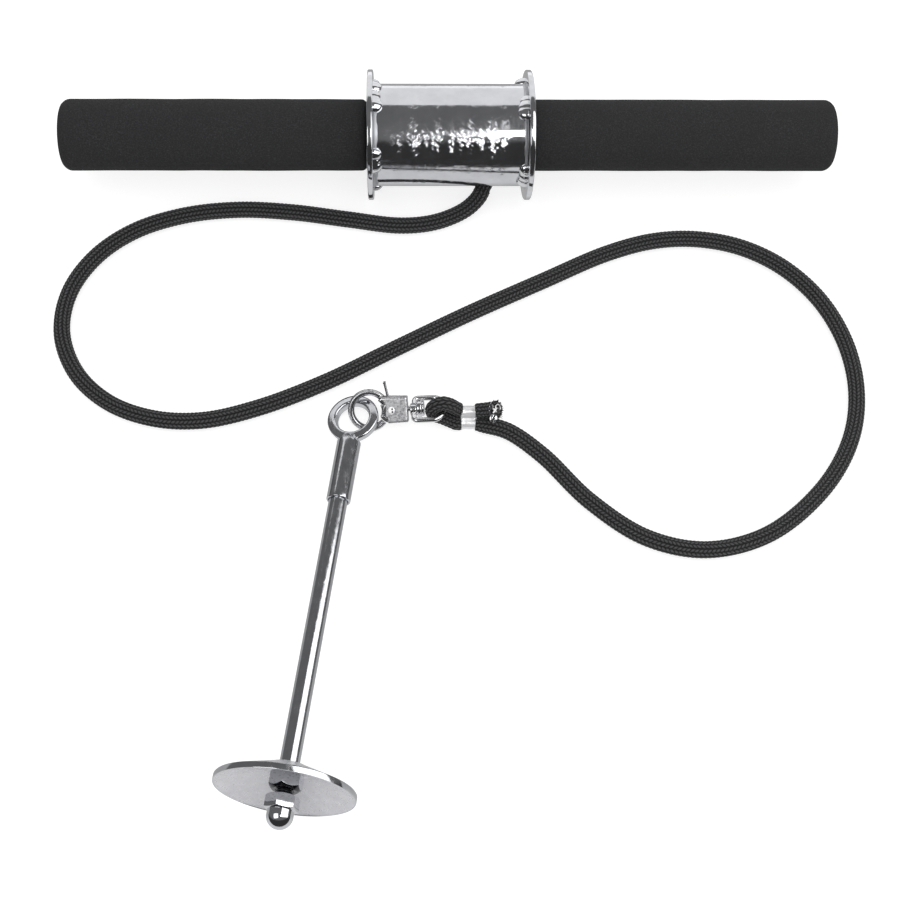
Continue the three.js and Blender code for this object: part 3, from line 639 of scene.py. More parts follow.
def lathe(profile, steps=ROUND_STEPS, closed=True):
    """A profile of (distance along, radius) pairs, spun about the x axis, with a UV map in metres."""
    bm = bmesh.new()
    points = [bm.verts.new((along, radius, 0)) for along, radius in profile]
    pairs = list(zip(points, points[1:]))
    if closed:
        pairs.append((points[-1], points[0]))
    edges = [bm.edges.new(pair) for pair in pairs]
    bmesh.ops.spin(bm, geom=points + edges, cent=(0, 0, 0), axis=(1, 0, 0), angle=2 * math.pi,
                   steps=steps, use_merge=True, dvec=(0, 0, 0))
    bmesh.ops.remove_doubles(bm, verts=bm.verts, dist=1e-7)
    layer = bm.loops.layers.uv.new("UVMap")
    for face in bm.faces:
        middle = face.calc_center_median()
        facing = math.atan2(middle.z, middle.y)
        for loop in face.loops:
            x, y, z = loop.vert.co
            radius = math.hypot(y, z)
            turn = (math.atan2(z, y) - facing + math.pi) % (2 * math.pi) - math.pi if radius > 1e-7 else 0
            loop[layer].uv = (x, (facing + turn) * radius)
    return bm


def with_cut(piece, cutter_bm, place=None, operation="DIFFERENCE"):
    """The piece after a boolean with a cutter, which is thrown away."""
    cutter = piece_of(cutter_bm, "cutter", CHROME, place)
    cut = piece.modifiers.new("cut", "BOOLEAN")
    cut.operation = operation
    cut.solver = "EXACT"
    cut.object = cutter
    applied(piece)
    bpy.data.objects.remove(cutter)
    return piece


def fused(piece, voxel, rounds, swell=0.0):
    """The piece as one skin, its joints and edges softened, then swollen back to its size."""
    skin = piece.modifiers.new("skin", "REMESH")
    skin.mode = "VOXEL"
    skin.voxel_size = voxel
    soft = piece.modifiers.new("soft", "SMOOTH")
    soft.factor = 0.5
    soft.iterations = rounds
    if swell:
        grown = piece.modifiers.new("grown", "DISPLACE")
        grown.strength = swell
        grown.mid_level = 0
    applied(piece)
    piece.data.shade_smooth()
    return piece


def placed(bm, place):
    """The bmesh in another place, with its faces turned out."""
    bmesh.ops.transform(bm, matrix=place, verts=bm.verts)
    bmesh.ops.recalc_face_normals(bm, faces=bm.faces)
    return bm


def bmesh_of(mesh):
    """The mesh as a bmesh; the mesh and its object go."""
    bm = bmesh.new()
    bm.from_mesh(mesh)
    bpy.data.meshes.remove(mesh)
    return bm


def joined(first, other):
    """Two bmeshes in one."""
    mesh = bpy.data.meshes.new("part")
    other.to_mesh(mesh)
    other.free()
    first.from_mesh(mesh)
    bpy.data.meshes.remove(mesh)
    return first


def prism(sides, radius, depth):
    bm = bmesh.new()
    bmesh.ops.create_cone(bm, cap_ends=True, segments=sides, radius1=radius, radius2=radius, depth=depth)
    return bm


def ball(bm, across, up, radius, place=Matrix()):
    bmesh.ops.create_uvsphere(bm, u_segments=across, v_segments=up, radius=radius, matrix=place)


def places_of(mesh):
    """The mesh's vertices as rows of an array."""
    places = np.zeros(len(mesh.vertices) * 3)
    mesh.vertices.foreach_get("co", places)
    return places.reshape(-1, 3)


def mark(mesh, name, values):
    """A number for each vertex, which a material reads by its name."""
    layer = mesh.attributes.new(name, "FLOAT", "POINT")
    layer.data.foreach_set("value", values.astype(np.float32))


def paint(piece, material, chosen, home=PIN):
    """Another material on the faces that are chosen by their place and facing in the home frame."""
    piece.data.materials.append(material)
    level = home.inverted()
    for face in piece.data.polygons:
        if chosen(level @ face.center, level.to_3x3() @ face.normal):
            face.material_index = len(piece.data.materials) - 1


def roughen(piece, beyond, scale, height, offset=0.0):
    """Moves the points beyond a radius to or from the bar's line, by a smooth noise and an offset."""
    for vert in piece.data.vertices:
        outwards = Vector((0, vert.co.y - roller_middle.y, vert.co.z - roller_middle.z))
        if outwards.length > beyond:
            vert.co += outwards.normalized() * (noise.noise(vert.co * scale) * height + offset)


def eased(piece, width, segments=2, angle=30):
    """The piece with its sharp edges rounded."""
    edge = piece.modifiers.new("edge", "BEVEL")
    edge.width = width
    edge.segments = segments
    edge.limit_method = "ANGLE"
    edge.angle_limit = math.radians(angle)
    applied(piece)
    smooth_shaded(piece.data)
    return piece


def merged_copy(node, name, material):
    """A copy of a CAD node's mesh, with its loose triangles joined."""
    bm = bmesh.new()
    bm.from_mesh(frame["nodes"][node].data)
    bmesh.ops.remove_doubles(bm, verts=bm.verts, dist=1e-6)
    bmesh.ops.dissolve_limit(bm, angle_limit=math.radians(1), verts=bm.verts, edges=bm.edges)
    return piece_of(bm, name, material, turn_out=False)


# Tubes that follow a route

def walk(path):
    """The distance walked at each point of the path."""
    return np.concatenate([[0], np.cumsum(np.linalg.norm(np.diff(path, axis=0), axis=1))])


def evenly(curve, places):
    """The curve's points at these distances along it."""
    walked = walk(curve)
    return np.stack([np.interp(places, walked, curve[:, k]) for k in range(3)], 1)


def smooth_route(points, step):
    """Evenly spaced points of a centripetal Catmull-Rom curve through the points."""
    route = [np.array(point, float) for point in points]
    route = [2 * route[0] - route[1], *route, 2 * route[-1] - route[-2]]
    curve = []
    for a, b, c, d in zip(route, route[1:], route[2:], route[3:]):
        gaps = [np.linalg.norm(q - p) ** 0.5 for p, q in ((a, b), (b, c), (c, d))]
        t0, t1, t2, t3 = np.cumsum([0, *gaps])
        for t in np.linspace(t1, t2, 40, endpoint=False):
            ab = ((t1 - t) * a + (t - t0) * b) / (t1 - t0)
            bc = ((t2 - t) * b + (t - t1) * c) / (t2 - t1)
            cd = ((t3 - t) * c + (t - t2) * d) / (t3 - t2)
            abc = ((t2 - t) * ab + (t - t0) * bc) / (t2 - t0)
            bcd = ((t3 - t) * bc + (t - t1) * cd) / (t3 - t1)
            curve.append(((t2 - t) * abc + (t - t1) * bcd) / (t2 - t1))
    curve = np.array([*curve, route[-2]])
    length = walk(curve)[-1]
    return evenly(curve, np.linspace(0, length, round(length / step) + 1))


def ring_axes(path, closed=False):
    """Two axes across the path at each point, carried along it without twist."""
    ahead = np.roll(path, -1, 0) - np.roll(path, 1, 0) if closed else np.gradient(path, axis=0)
    ahead /= np.linalg.norm(ahead, axis=1)[:, None]
    side = np.cross(ahead[0], (0, 0, 1) if abs(ahead[0][2]) < 0.9 else (1, 0, 0))
    sides = []
    for tangent in ahead:
        side = side - tangent * (side @ tangent)
        side = side / np.linalg.norm(side)
        sides.append(side)
    sides = np.array(sides)
    return sides, np.cross(ahead, sides)


def plait_height(turn, walked):
    """Height from 0 to 1 of the plaits, which lean left and right in turn, column by column."""
    column = np.floor(turn * PLAIT_COLUMNS + 1e-6)
    across = turn * PLAIT_COLUMNS - column - 0.5
    odd = column % 2
    row = walked / PLAIT_PITCH + (1 - 2 * odd) * across * PLAIT_LEAN + 0.5 * odd
    along = 2 * (row - np.floor(row)) - 1
    return (1 - (2 * across) ** 2) * (0.25 + 0.75 * np.sqrt(np.clip(1 - along ** 2, 0, 1)))


def tube_mesh(name, path, axes, radii, walked, closed=False):
    """A tube of rings round a path, with capped ends and a UV map: turn share and distance walked."""
    sides, tops = axes
    count = radii.shape[1]
    turn = np.arange(count) / count * 2 * math.pi
    spokes = sides[:, None] * np.cos(turn)[None, :, None] + tops[:, None] * np.sin(turn)[None, :, None]
    points = path[:, None] + spokes * radii[:, :, None]
    rings = len(path)
    last = rings if closed else rings - 1
    faces, uvs = [], []
    for i in range(last):
        here, there = i * count, (i + 1) % rings * count
        for j in range(count):
            k = (j + 1) % count
            faces.append((here + j, here + k, there + k, there + j))
            low = walked[i]
            high = walked[i + 1] if i + 1 < rings else low + 2 * (walked[1] - walked[0])
            uvs += [(j / count, low), ((j + 1) / count, low), ((j + 1) / count, high), (j / count, high)]
    if not closed:
        faces += [tuple(range(count))[::-1], tuple(range((rings - 1) * count, rings * count))]
        uvs += [(0.5, walked[0])] * count + [(0.5, walked[-1])] * count
    mesh = bpy.data.meshes.new(name)
    mesh.from_pydata(points.reshape(-1, 3).tolist(), [], faces)
    layer = mesh.uv_layers.new(name="UVMap")
    layer.data.foreach_set("uv", np.array(uvs, np.float32).ravel())
    bm = bmesh.new()
    bm.from_mesh(mesh)
    bmesh.ops.recalc_face_normals(bm, faces=bm.faces)
    bm.to_mesh(mesh)
    bm.free()
    mesh.shade_smooth()
    return mesh


def braided(path, diameters):
    """Radii of a braided rope along a path, one diameter for each point."""
    count = PLAIT_COLUMNS * SIDES_PER_COLUMN
    turn = (np.arange(count) / count)[None, :]
    heights = plait_height(np.broadcast_to(turn, (len(path), count)), walk(path)[:, None])
    return diameters[:, None] / 2 - PLAIT_RELIEF * (1 - heights)


def braided_tube(name, path, diameters):
    mesh = tube_mesh(name, path, ring_axes(path), braided(path, diameters), walk(path))
    return object_of(mesh, name, ROPE_BRAID)


def plain_tube(name, path, diameter, sides, material, closed=False):
    radii = np.full((len(path), sides), diameter / 2)
    mesh = tube_mesh(name, path, ring_axes(path, closed), radii, walk(path), closed=closed)
    return object_of(mesh, name, material)


def moved(points, place):
    """The points after a placing matrix."""
    return np.array([place @ Vector(point) for point in points])


# Roller

def build_drum():
    half = (drum_high.x - drum_low.x) / 2
    end = half - DRUM_EDGE
    inner = drum_radius - DRUM_WALL
    outer = drum_radius - DRUM_EDGE
    profile = [(-end, inner), (end, inner), (half, inner + DRUM_EDGE), (half, outer), (end, drum_radius),
               *level_run(end, -end, drum_radius, DRUM_SLICES), (-end, drum_radius), (-half, outer),
               (-half, inner + DRUM_EDGE)]
    drum = piece_of(lathe(profile, 2 * FINE_STEPS), "drum_tube", DRUM_PLATING, ROLLER)
    place = ROLLER @ shift(ROPE_HOLE_X) @ rotation(ROPE_HOLE_ANGLE - 90, "X") @ shift(z=drum_radius)
    with_cut(drum, prism(SMALL_STEPS, ROPE_HOLE_DIAMETER / 2, 2 * DRUM_WALL + 0.004), place)
    smooth_shaded(drum.data)
    mark_grinding(drum.data)
    set_on(drum, "roller", "scuffed_chrome", "drum")


def mark_grinding(mesh):
    """How strongly each point of the drum was ground."""
    local = places_of(mesh) - np.array(roller_middle)
    turn = np.arctan2(local[:, 2], local[:, 1])
    ground = np.zeros(len(local))
    for i, (middle, half_width, strength) in enumerate(GROUND_COLUMNS):
        sway = 0.0007 * np.sin(2 * turn + i * 1.7) + 0.0004 * np.sin(5 * turn + i)
        patchy = strength * (0.72 + 0.28 * np.sin(3 * turn + i * 2.3))
        share = patchy * np.exp(-((local[:, 0] - middle - sway) / half_width) ** 2)
        ground = np.maximum(ground, share)
    degrees = np.degrees(turn) % 360
    (start, full), (fade, end) = GROUND_FROM, GROUND_TO
    rising, falling = (degrees - start) / (full - start), (end - degrees) / (end - fade)
    window = np.clip(rising, 0, 1) * np.clip(falling, 0, 1)
    mark(mesh, "ground", ground * (0.15 + 0.85 * window))


def build_fillet(name, side):
    """The hollow run of weld in the corner between the drum and a flange."""
    leg = RIGHT_FILLET if side > 0 else LEFT_FILLET
    start, top = flange_face - leg, drum_radius + leg
    end, foot = flange_face + WELD_SINK, drum_radius - WELD_SINK
    outline = [*arc(start, top, leg, -90, 0, 8), (end, top), (end, foot), (start, foot)]
    profile = [(side * x, radius) for x, radius in outline]
    fillet = piece_of(lathe(profile), f"{name}_fillet", FILLET_CHROME, ROLLER)
    roughen(fillet, drum_radius, 150, 0.0002)
    set_on(fillet, "roller", "chrome", name)


def build_flanges():
    across = Vector((0, CAMERA_PLACE[2], -CAMERA_PLACE[1])).normalized()
    bore = GRIP_BORE_DIAMETER / 2
    for name, side in (("flange_right", 1), ("flange_left", -1)):
        low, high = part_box(name)
        radius = (high.z - low.z) / 2
        profile = [(low.x, bore), *first_corner(low.x, radius, FLANGE_EDGE),
                   *last_corner(high.x, radius, FLANGE_EDGE), (high.x, bore)]
        place = shift(0, *roller_middle.yz)
        if side > 0:
            middle = (low.x + high.x) / 2
            place = place @ shift(middle) @ rotation(FLANGE_LEAN, across) @ shift(-middle)
        disc = piece_of(lathe(profile), f"{name}_disc", CHROME, place)
        set_on(disc, "roller", "chrome", name)
        build_fillet(name, side)


def build_bead(name, side, middle, half_arc):
    """A run of three weld puddles in the corner of drum and flange, the last one the largest."""
    random = np.random.default_rng(SEED + round(middle) * 3 + side)
    bm = bmesh.new()
    for place, size in ((-0.5, random.uniform(0.72, 0.86)), (0.02, random.uniform(0.76, 0.95)),
                        (0.42, random.uniform(0.92, 1.05))):
        puddle = bmesh.new()
        ball(puddle, 28, 20, 1)
        reach = half_arc * (0.5 if size < 0.9 else 0.6)
        height = BEAD_HEIGHT * size
        width = BEAD_WIDTH * size * random.uniform(0.85, 1.0)
        for vert in puddle.verts:
            x, y, z = vert.co
            angle = math.radians(middle + place * half_arc + x * reach)
            radius = drum_radius + max(y * height, -BEAD_SINK)
            along = flange_face - max(-z * width, -BEAD_SINK)
            vert.co = (side * along, radius * math.cos(angle), radius * math.sin(angle))
        bmesh.ops.recalc_face_normals(puddle, faces=puddle.faces)
        joined(bm, puddle)
    bead = piece_of(bm, f"{name}_blob", WELD_CHROME, ROLLER)
    fused(bead, BEAD_VOXEL, 4)
    set_on(bead, "roller", "chrome", name)


def build_beads():
    for label, side, beads in (("left", -1, LEFT_BEADS), ("right", 1, RIGHT_BEADS)):
        for i, (middle, half_arc) in enumerate(beads, 1):
            build_bead(f"weld_{label}_{i}", side, middle, half_arc)


def build_grips():
    bore = GRIP_BORE_DIAMETER / 2 + GRIP_RECESS_ROOM
    for name, side in (("grip_right", 1), ("grip_left", -1)):
        low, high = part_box(name)
        radius = (high.z - low.z) / 2
        near, far = (low.x, high.x) if side > 0 else (-high.x, -low.x)
        crown = far - GRIP_CROWN
        profile = [(near + GRIP_RECESS, 0), (near + GRIP_RECESS, bore), (near, bore),
                   *first_corner(near, radius, GRIP_INNER_ROUND),
                   *level_run(near + GRIP_INNER_ROUND, crown - GRIP_CORNER, radius, GRIP_SLICES),
                   *last_corner(crown, radius, GRIP_CORNER, 14, 8), (far - 0.0004, radius * 0.45), (far, 0)]
        place = ROLLER @ rotation(0 if side > 0 else 180, "Z")
        grip = piece_of(lathe(profile, closed=False), f"{name}_foam", FOAM, place)
        roughen(grip, radius * 0.9, 60, 0.00016, -0.00012)
        set_on(grip, "roller", "foam", name)


def build_stub():
    """The stopper knot inside the drum, and the strand that goes out through the hole."""
    lean = math.radians(ROPE_EXIT_LEAN)
    place = ROLLER @ shift(ROPE_HOLE_X) @ rotation(ROPE_HOLE_ANGLE, "X")
    knot_radius = drum_radius - DRUM_WALL - KNOT_SIZE[1] / 2 - 0.0006
    reach = (drum_radius - knot_radius) / math.cos(lean)
    middle = Vector((reach * math.sin(lean), knot_radius, 0))
    out = Vector((-math.sin(lean), math.cos(lean), 0))
    path = moved([middle + out * t for t in np.linspace(0, reach + 0.003, 20)], place)
    stub = braided_tube("rope_stub", path, np.full(len(path), STUB_DIAMETER))
    lumps = bmesh.new()
    ball(lumps, 36, 24, 0.5)
    for vert in lumps.verts:
        lump = 1 - 0.12 * abs(math.sin(5 * vert.co.x + 7 * vert.co.z))
        vert.co = Vector([c * s for c, s in zip(vert.co * lump, KNOT_SIZE)]) + middle
    knot = piece_of(lumps, "rope_stopper", ROPE_BRAID, place)
    knot.data.shade_smooth()
    set_on(stub, "roller", "rope", "rope_knot")
    set_on(knot, "roller", "rope", "rope_knot")


# Rope

def build_rope():
    path = moved(smooth_route(ROPE_ROUTE, ROPE_STEP), FLOOR)
    walked = walk(path)
    left = walked[-1] - walked
    diameters = ROPE_DIAMETER - 0.0022 * (1 - np.clip(left / 0.007, 0, 1)) ** 2
    radii = braided(path, diameters)
    axes = ring_axes(path)
    split = round(LEAD_LENGTH / ROPE_STEP)
    pieces = []
    for name, part in (("rope_lead", slice(0, split + 1)), ("rope_run", slice(split, len(path)))):
        mesh = tube_mesh(name, path[part], (axes[0][part], axes[1][part]), radii[part], walked[part])
        piece = object_of(mesh, name, ROPE_BRAID)
        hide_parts("rope")
        pieces.append((piece, path[part], walked[part]))
    lead, lead_path, _ = pieces[0]
    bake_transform(lead)
    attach(pieces[1][0], "root")
    return pieces


def build_eye():
    path = moved(smooth_route(EYE_ROUTE, ROPE_STEP * 0.8), FLOOR)
    walked = walk(path)
    from_end = np.minimum(walked, walked[-1] - walked)
    diameters = EYE_DIAMETER - 0.0006 * (1 - np.clip(from_end / 0.002, 0, 1)) ** 2
    return set_on(braided_tube("rope_loop", path, diameters), "root", "rope", "rope_eye")


def build_tail():
    """The rope's short end past the ferrule, flared and cut aslant, so that its face looks upwards."""
    path = moved(smooth_route(TAIL_ROUTE, ROPE_STEP * 0.8), FLOOR)
    walked = walk(path)
    share = walked / walked[-1]
    flare = TAIL_FLARE * np.clip(share - 0.3, 0, 1) ** 1.5
    radii = braided(path, TAIL_DIAMETER * (0.94 + 0.06 * np.clip(share / 0.2, 0, 1) + flare))
    radii[-1] *= 0.93
    mesh = tube_mesh("rope_end", path, ring_axes(path), radii, walked)
    out, up, _ = tail_face(path)
    for vert in mesh.vertices:
        i = vert.index // radii.shape[1]
        cut = min(max((share[i] - 0.3) / 0.7, 0), 1)
        vert.co -= out * TAIL_SLANT * cut * (vert.co - Vector(path[i])).dot(up)
    tail = object_of(mesh, "rope_end", ROPE_BRAID)
    set_on(tail, "root", "rope", "rope_tail")
    return tail, path


def tail_face(path):
    """The tail's direction, the way up across it, and the way that its slanting face looks."""
    out = Vector(path[-1] - path[-2]).normalized()
    pitch = math.radians(CAMERA_PITCH)
    up = Vector((0, -math.sin(pitch), math.cos(pitch)))
    up = (up - out * up.dot(out)).normalized()
    return out, up, (out + up * TAIL_SLANT).normalized()


def on_face(path, side, rise, lift):
    """A point of the tail's slanting face: sideways and up its slope from the middle, and off it."""
    out, up, facing = tail_face(path)
    across = out.cross(up)
    return Vector(path[-1]) + across * side + (up - out * TAIL_SLANT) * rise + facing * lift


def build_fray(path):
    """Loose yarn ends on the tail's cut face, dark outside and pale at the core."""
    random = np.random.default_rng(SEED)
    facing = tail_face(path)[2]
    radius = TAIL_DIAMETER * (0.5 + TAIL_FLARE / 3)
    pieces = []
    for name, material, count, inner, outer, reach in (
        ("fray_black", ROPE_BRAID, 170, 0.25, 0.98, 0.0013), ("fray_core", FRAYED, 60, 0.0, 0.85, 0.001),
    ):
        bm = bmesh.new()
        for _ in range(count):
            turn = random.uniform(0, 2 * math.pi)
            share = math.sqrt(random.uniform(inner ** 2, outer ** 2)) * radius
            foot = on_face(path, share * math.cos(turn), share * math.sin(turn), -0.0005)
            lean = facing + Vector(random.normal(0, 0.45, 3))
            tip = foot + lean.normalized() * (0.0005 + reach * random.uniform(0.3, 1))
            add_yarn(bm, foot, tip, 0.00017)
        if material is FRAYED:
            for i in range(9):
                row, place = divmod(i, 3)
                foot = on_face(path, -0.0006 + 0.0003 * place, TAIL_DIAMETER * 0.47, 0.0001 * row)
                add_yarn(bm, foot, foot + Vector((0.0004 * place, 0.0016 + 0.0002 * row, 0.0008)), 0.00016)
        pieces.append(set_on(piece_of(bm, name, material), "root", "rope"))
    return pieces


def add_yarn(bm, foot, tip, radius):
    """One thin pointed yarn."""
    direction = tip - foot
    turn = direction.to_track_quat("Z", "Y").to_matrix().to_4x4()
    place = Matrix.Translation((foot + tip) / 2) @ turn
    bmesh.ops.create_cone(bm, cap_ends=True, segments=5, radius1=radius, radius2=radius * 0.4,
                          depth=direction.length, matrix=place)


def ferrule_section(inset):
    """The outline of the two lobes, drawn in by an amount."""
    lobe = FERRULE_LOBE - inset
    half = FERRULE_SPACING / 2
    waist = FERRULE_WAIST - inset * 0.4
    right = arc(half, 0, lobe, -112, 112, 22)
    left = arc(-half, 0, lobe, 68, 292, 22)
    return [*right, (half * 0.28, waist), (0, waist * 0.96), (-half * 0.28, waist),
            *left, (-half * 0.28, -waist), (0, -waist * 0.96), (half * 0.28, -waist)]


def build_ferrule():
    """A pressed sleeve with two lobes, flatter along its middle, with rolled ends."""
    half = FERRULE_LENGTH / 2
    bm = bmesh.new()
    loops = []
    mirrored = [(-share, inset) for share, inset in reversed(FERRULE_INSETS)]
    for share, inset in (*mirrored, (0, 0.0003), *FERRULE_INSETS):
        verts = [bm.verts.new((share * half, y, z)) for y, z in ferrule_section(inset)]
        loops.append([bm.edges.new(pair) for pair in zip(verts, verts[1:] + verts[:1])])
    for first, second in zip(loops, loops[1:]):
        bmesh.ops.bridge_loops(bm, edges=first + second)
    bmesh.ops.holes_fill(bm, edges=loops[0] + loops[-1], sides=0)
    place = FLOOR @ shift(*FERRULE_MIDDLE) @ rotation(FERRULE_LEAN, "X")
    ferrule = piece_of(bm, "crimped_sleeve", ALUMINIUM, place)
    smooth_shaded(ferrule.data, BLUNT_ANGLE)
    return set_on(ferrule, "root", "aluminium", "ferrule")


def bent_on_face(path, side, rise, radius, lift, angles):
    """A round bend of wire on the tail's face."""
    return np.array([on_face(path, side + radius * math.cos(a), rise + radius * math.sin(a), lift)
                     for a in angles])


def build_tail_wire(path):
    """A wire round the flared end, whose ends make a small loop and a cross on the cut face."""
    radius = TAIL_DIAMETER * (0.5 + TAIL_FLARE / 5)
    coil = bent_on_face(path, 0, 0, radius, -0.0011, np.linspace(0, 2 * math.pi, 61)[:-1])
    loop = bent_on_face(path, LOOP_SIDE, LOOP_RISE, LOOP_RADIUS, 0.0007, np.linspace(1.2, 5.2, 30))
    pieces = [plain_tube("binding_wire", coil, LOOP_WIRE, 12, PIN_CHROME, closed=True),
              plain_tube("wire_loop", loop, LOOP_WIRE, 12, ALUMINIUM)]
    for i, ends in enumerate(CROSS_WIRES):
        line = np.linspace(*(on_face(path, *end, 0.0012) for end in ends), 6)
        pieces.append(plain_tube(f"wire_cross_{i}", line, WIRE_DIAMETER, 12, PEENED))
    for piece in pieces:
        set_on(piece, "root", "aluminium", "tail_wire")
    return pieces


def build_tail_screw():
    """A small cheese-head screw with a slot, whose inside is painted black as painted shade."""
    radius = SCREW_DIAMETER / 2
    profile = [(-SCREW_LENGTH, 0), *first_corner(-SCREW_LENGTH, radius, 0.0003, 3),
               *last_corner(0, radius, 0.0007, 20), (0, radius * 0.4), (0, 0)]
    place = FLOOR @ shift(*SCREW_PLACE) @ rotation(SCREW_LEAN, "X") @ rotation(-90, "Y")
    screw = piece_of(lathe(profile, SMALL_STEPS, closed=False), "clip_screw", CHROME, place)
    slot_place = place @ rotation(65, "X")
    slot = bmesh.new()
    bmesh.ops.create_cube(slot, size=1)
    shape = Matrix.Diagonal((2 * SLOT_DEPTH, SCREW_SLOT, SCREW_DIAMETER + 0.002, 1))
    with_cut(screw, slot, slot_place @ shape)
    eased(screw, 0.0001)
    # Painted shade: the faces inside the slot get the black plastic.
    paint(screw, PLUG_PLASTIC_AND_SHADE, lambda place, way: abs(place.y) < SCREW_SLOT * 0.53
          and -SLOT_DEPTH - 0.00005 < place.x < -0.0001, slot_place)
    return set_on(screw, "root", "aluminium", "tail_screw")


# Swivel and snap hook

def bent_bar(half_width, start, end, left_round, right_round, steps=14):
    """Centreline of the closed D that the rope is looped through."""
    corners = [*arc(end - right_round, half_width - right_round, right_round, 0, 90, steps),
               *arc(start + left_round, half_width - left_round, left_round, 90, 180, steps),
               *arc(start + left_round, left_round - half_width, left_round, 180, 270, steps),
               *arc(end - right_round, right_round - half_width, right_round, 270, 360, steps)]
    points = np.array([(x, y, 0) for x, y in corners])
    closed = np.vstack([points, points[:1]])
    return evenly(closed, np.linspace(0, walk(closed)[-1], 160, endpoint=False))


def build_swivel_eye():
    bar = SWIVEL_BAR / 2
    path = bent_bar(SWIVEL_HALF_WIDTH - bar, SWIVEL_START + bar, SWIVEL_END - bar,
                    SWIVEL_LEFT_ROUND - bar / 2, SWIVEL_RIGHT_ROUND - bar)
    ring = plain_tube("bent_eye", moved(path, SWIVEL), SWIVEL_BAR, 24, ZINC, closed=True)
    start, end, radius = SWIVEL_START - BOSS_STAND_OUT, SWIVEL_START + SWIVEL_BAR, BOSS_DIAMETER / 2
    boss = lathe([(start, 0), *first_corner(start, radius, DIE_EDGE, 4),
                  *last_corner(end, radius, DIE_EDGE, 0, 4), (end, 0)], SMALL_STEPS, closed=False)
    whole = joined(bmesh_of(ring.data), placed(boss, SWIVEL))
    eye = piece_of(whole, "stirrup", ZINC, turn_out=False)
    fused(eye, CAST_VOXEL, 5)
    bore = POST_DIAMETER / 2 + 0.00065
    hole = [(start - 0.001, 0), (start - 0.001, bore), (end + 0.0008, bore), (end + 0.0008, 0)]
    with_cut(eye, lathe(hole, SMALL_STEPS, closed=False), SWIVEL)
    smooth_shaded(eye.data, BLUNT_ANGLE)
    set_on(eye, "root", "die_cast", "swivel_eye")


def build_post():
    radius, head, tier = POST_DIAMETER / 2, HEAD_DIAMETER / 2, TIER_DIAMETER / 2
    step = HEAD_START + HEAD_THICKNESS
    end = step + TIER_THICKNESS
    profile = [(POST_START, 0), (POST_START, radius), (HEAD_START, radius),
               *first_corner(HEAD_START, head, DIE_EDGE), *last_corner(step, head, 0.0006, 20),
               (step, tier), *last_corner(end, tier, DIE_EDGE), (end, 0)]
    post = piece_of(lathe(profile, FINE_STEPS, closed=False), "post_and_head", ZINC, HOOK)
    set_on(post, "hook", "die_cast", "swivel_post")


def build_hook_casting():
    """The hook's body, pitted but for its polished ring, whose dark tone is painted shade, and the trigger,
    darkened the same way.
    """
    casting = merged_copy("hook_body", "hook_casting", ZINC)
    fused(casting, CAST_VOXEL, 8, 0.00012)
    ring_middle = np.array(joints["pin_swing"]["pos_m"])
    reach = np.linalg.norm(places_of(casting.data) - ring_middle, axis=1)
    pitted = np.clip((reach - HOOK_RING_REACH) / POLISHED_BORDER, 0, 1)
    mark(casting.data, "pitted", pitted)
    # Painted shade: the smooth ring round the pin is marked dark.
    mark(casting.data, "dark", 1 - pitted)
    set_on(casting, "hook", "die_cast", "hook_body")
    trigger = merged_copy("trigger", "trigger_casting", ZINC)
    fused(trigger, TRIGGER_VOXEL, 5, 0.00003)
    # Painted shade: the whole trigger is marked dark.
    mark(trigger.data, "dark", np.ones(len(trigger.data.vertices)))
    set_on(trigger, "trigger", "die_cast", "trigger")


def build_rivet():
    """A peened rivet: a satin head with two punch marks, whose insides are painted black as painted shade."""
    half = BODY_THICKNESS / 2 + 0.0001
    radius, head = RIVET_DIAMETER / 2, RIVET_HEAD / 2
    top = half + RIVET_HEAD_HEIGHT
    aside = RIVET_MARK * 1.5
    upper = [(half, head), *last_corner(top, head, DIE_EDGE, 0, 4), (top, 0)]
    profile = [*[(-x, r) for x, r in reversed(upper)], (-half, radius), (half, radius), *upper]
    place = HOOK @ shift(RIVET_X) @ rotation(-90, "Y")
    rivet = piece_of(lathe(profile, SMALL_STEPS, closed=False), "peened_rivet", PEENED, place)
    marks = bmesh.new()
    for side in (-1, 1):
        ball(marks, 16, 10, RIVET_MARK, HOOK @ shift(RIVET_MARKS_X, side * aside, top))
    with_cut(rivet, marks)
    smooth_shaded(rivet.data, BLUNT_ANGLE)
    # Painted shade: the faces inside the punch marks get the black plastic.
    paint(rivet, PLUG_PLASTIC_AND_SHADE, lambda place, way: half < place.z < top - 0.00004
          and math.hypot(place.x - RIVET_MARKS_X, abs(place.y) - aside) < RIVET_MARK, HOOK)
    set_on(rivet, "hook", "aluminium", "trigger_rivet")


# Loading pin

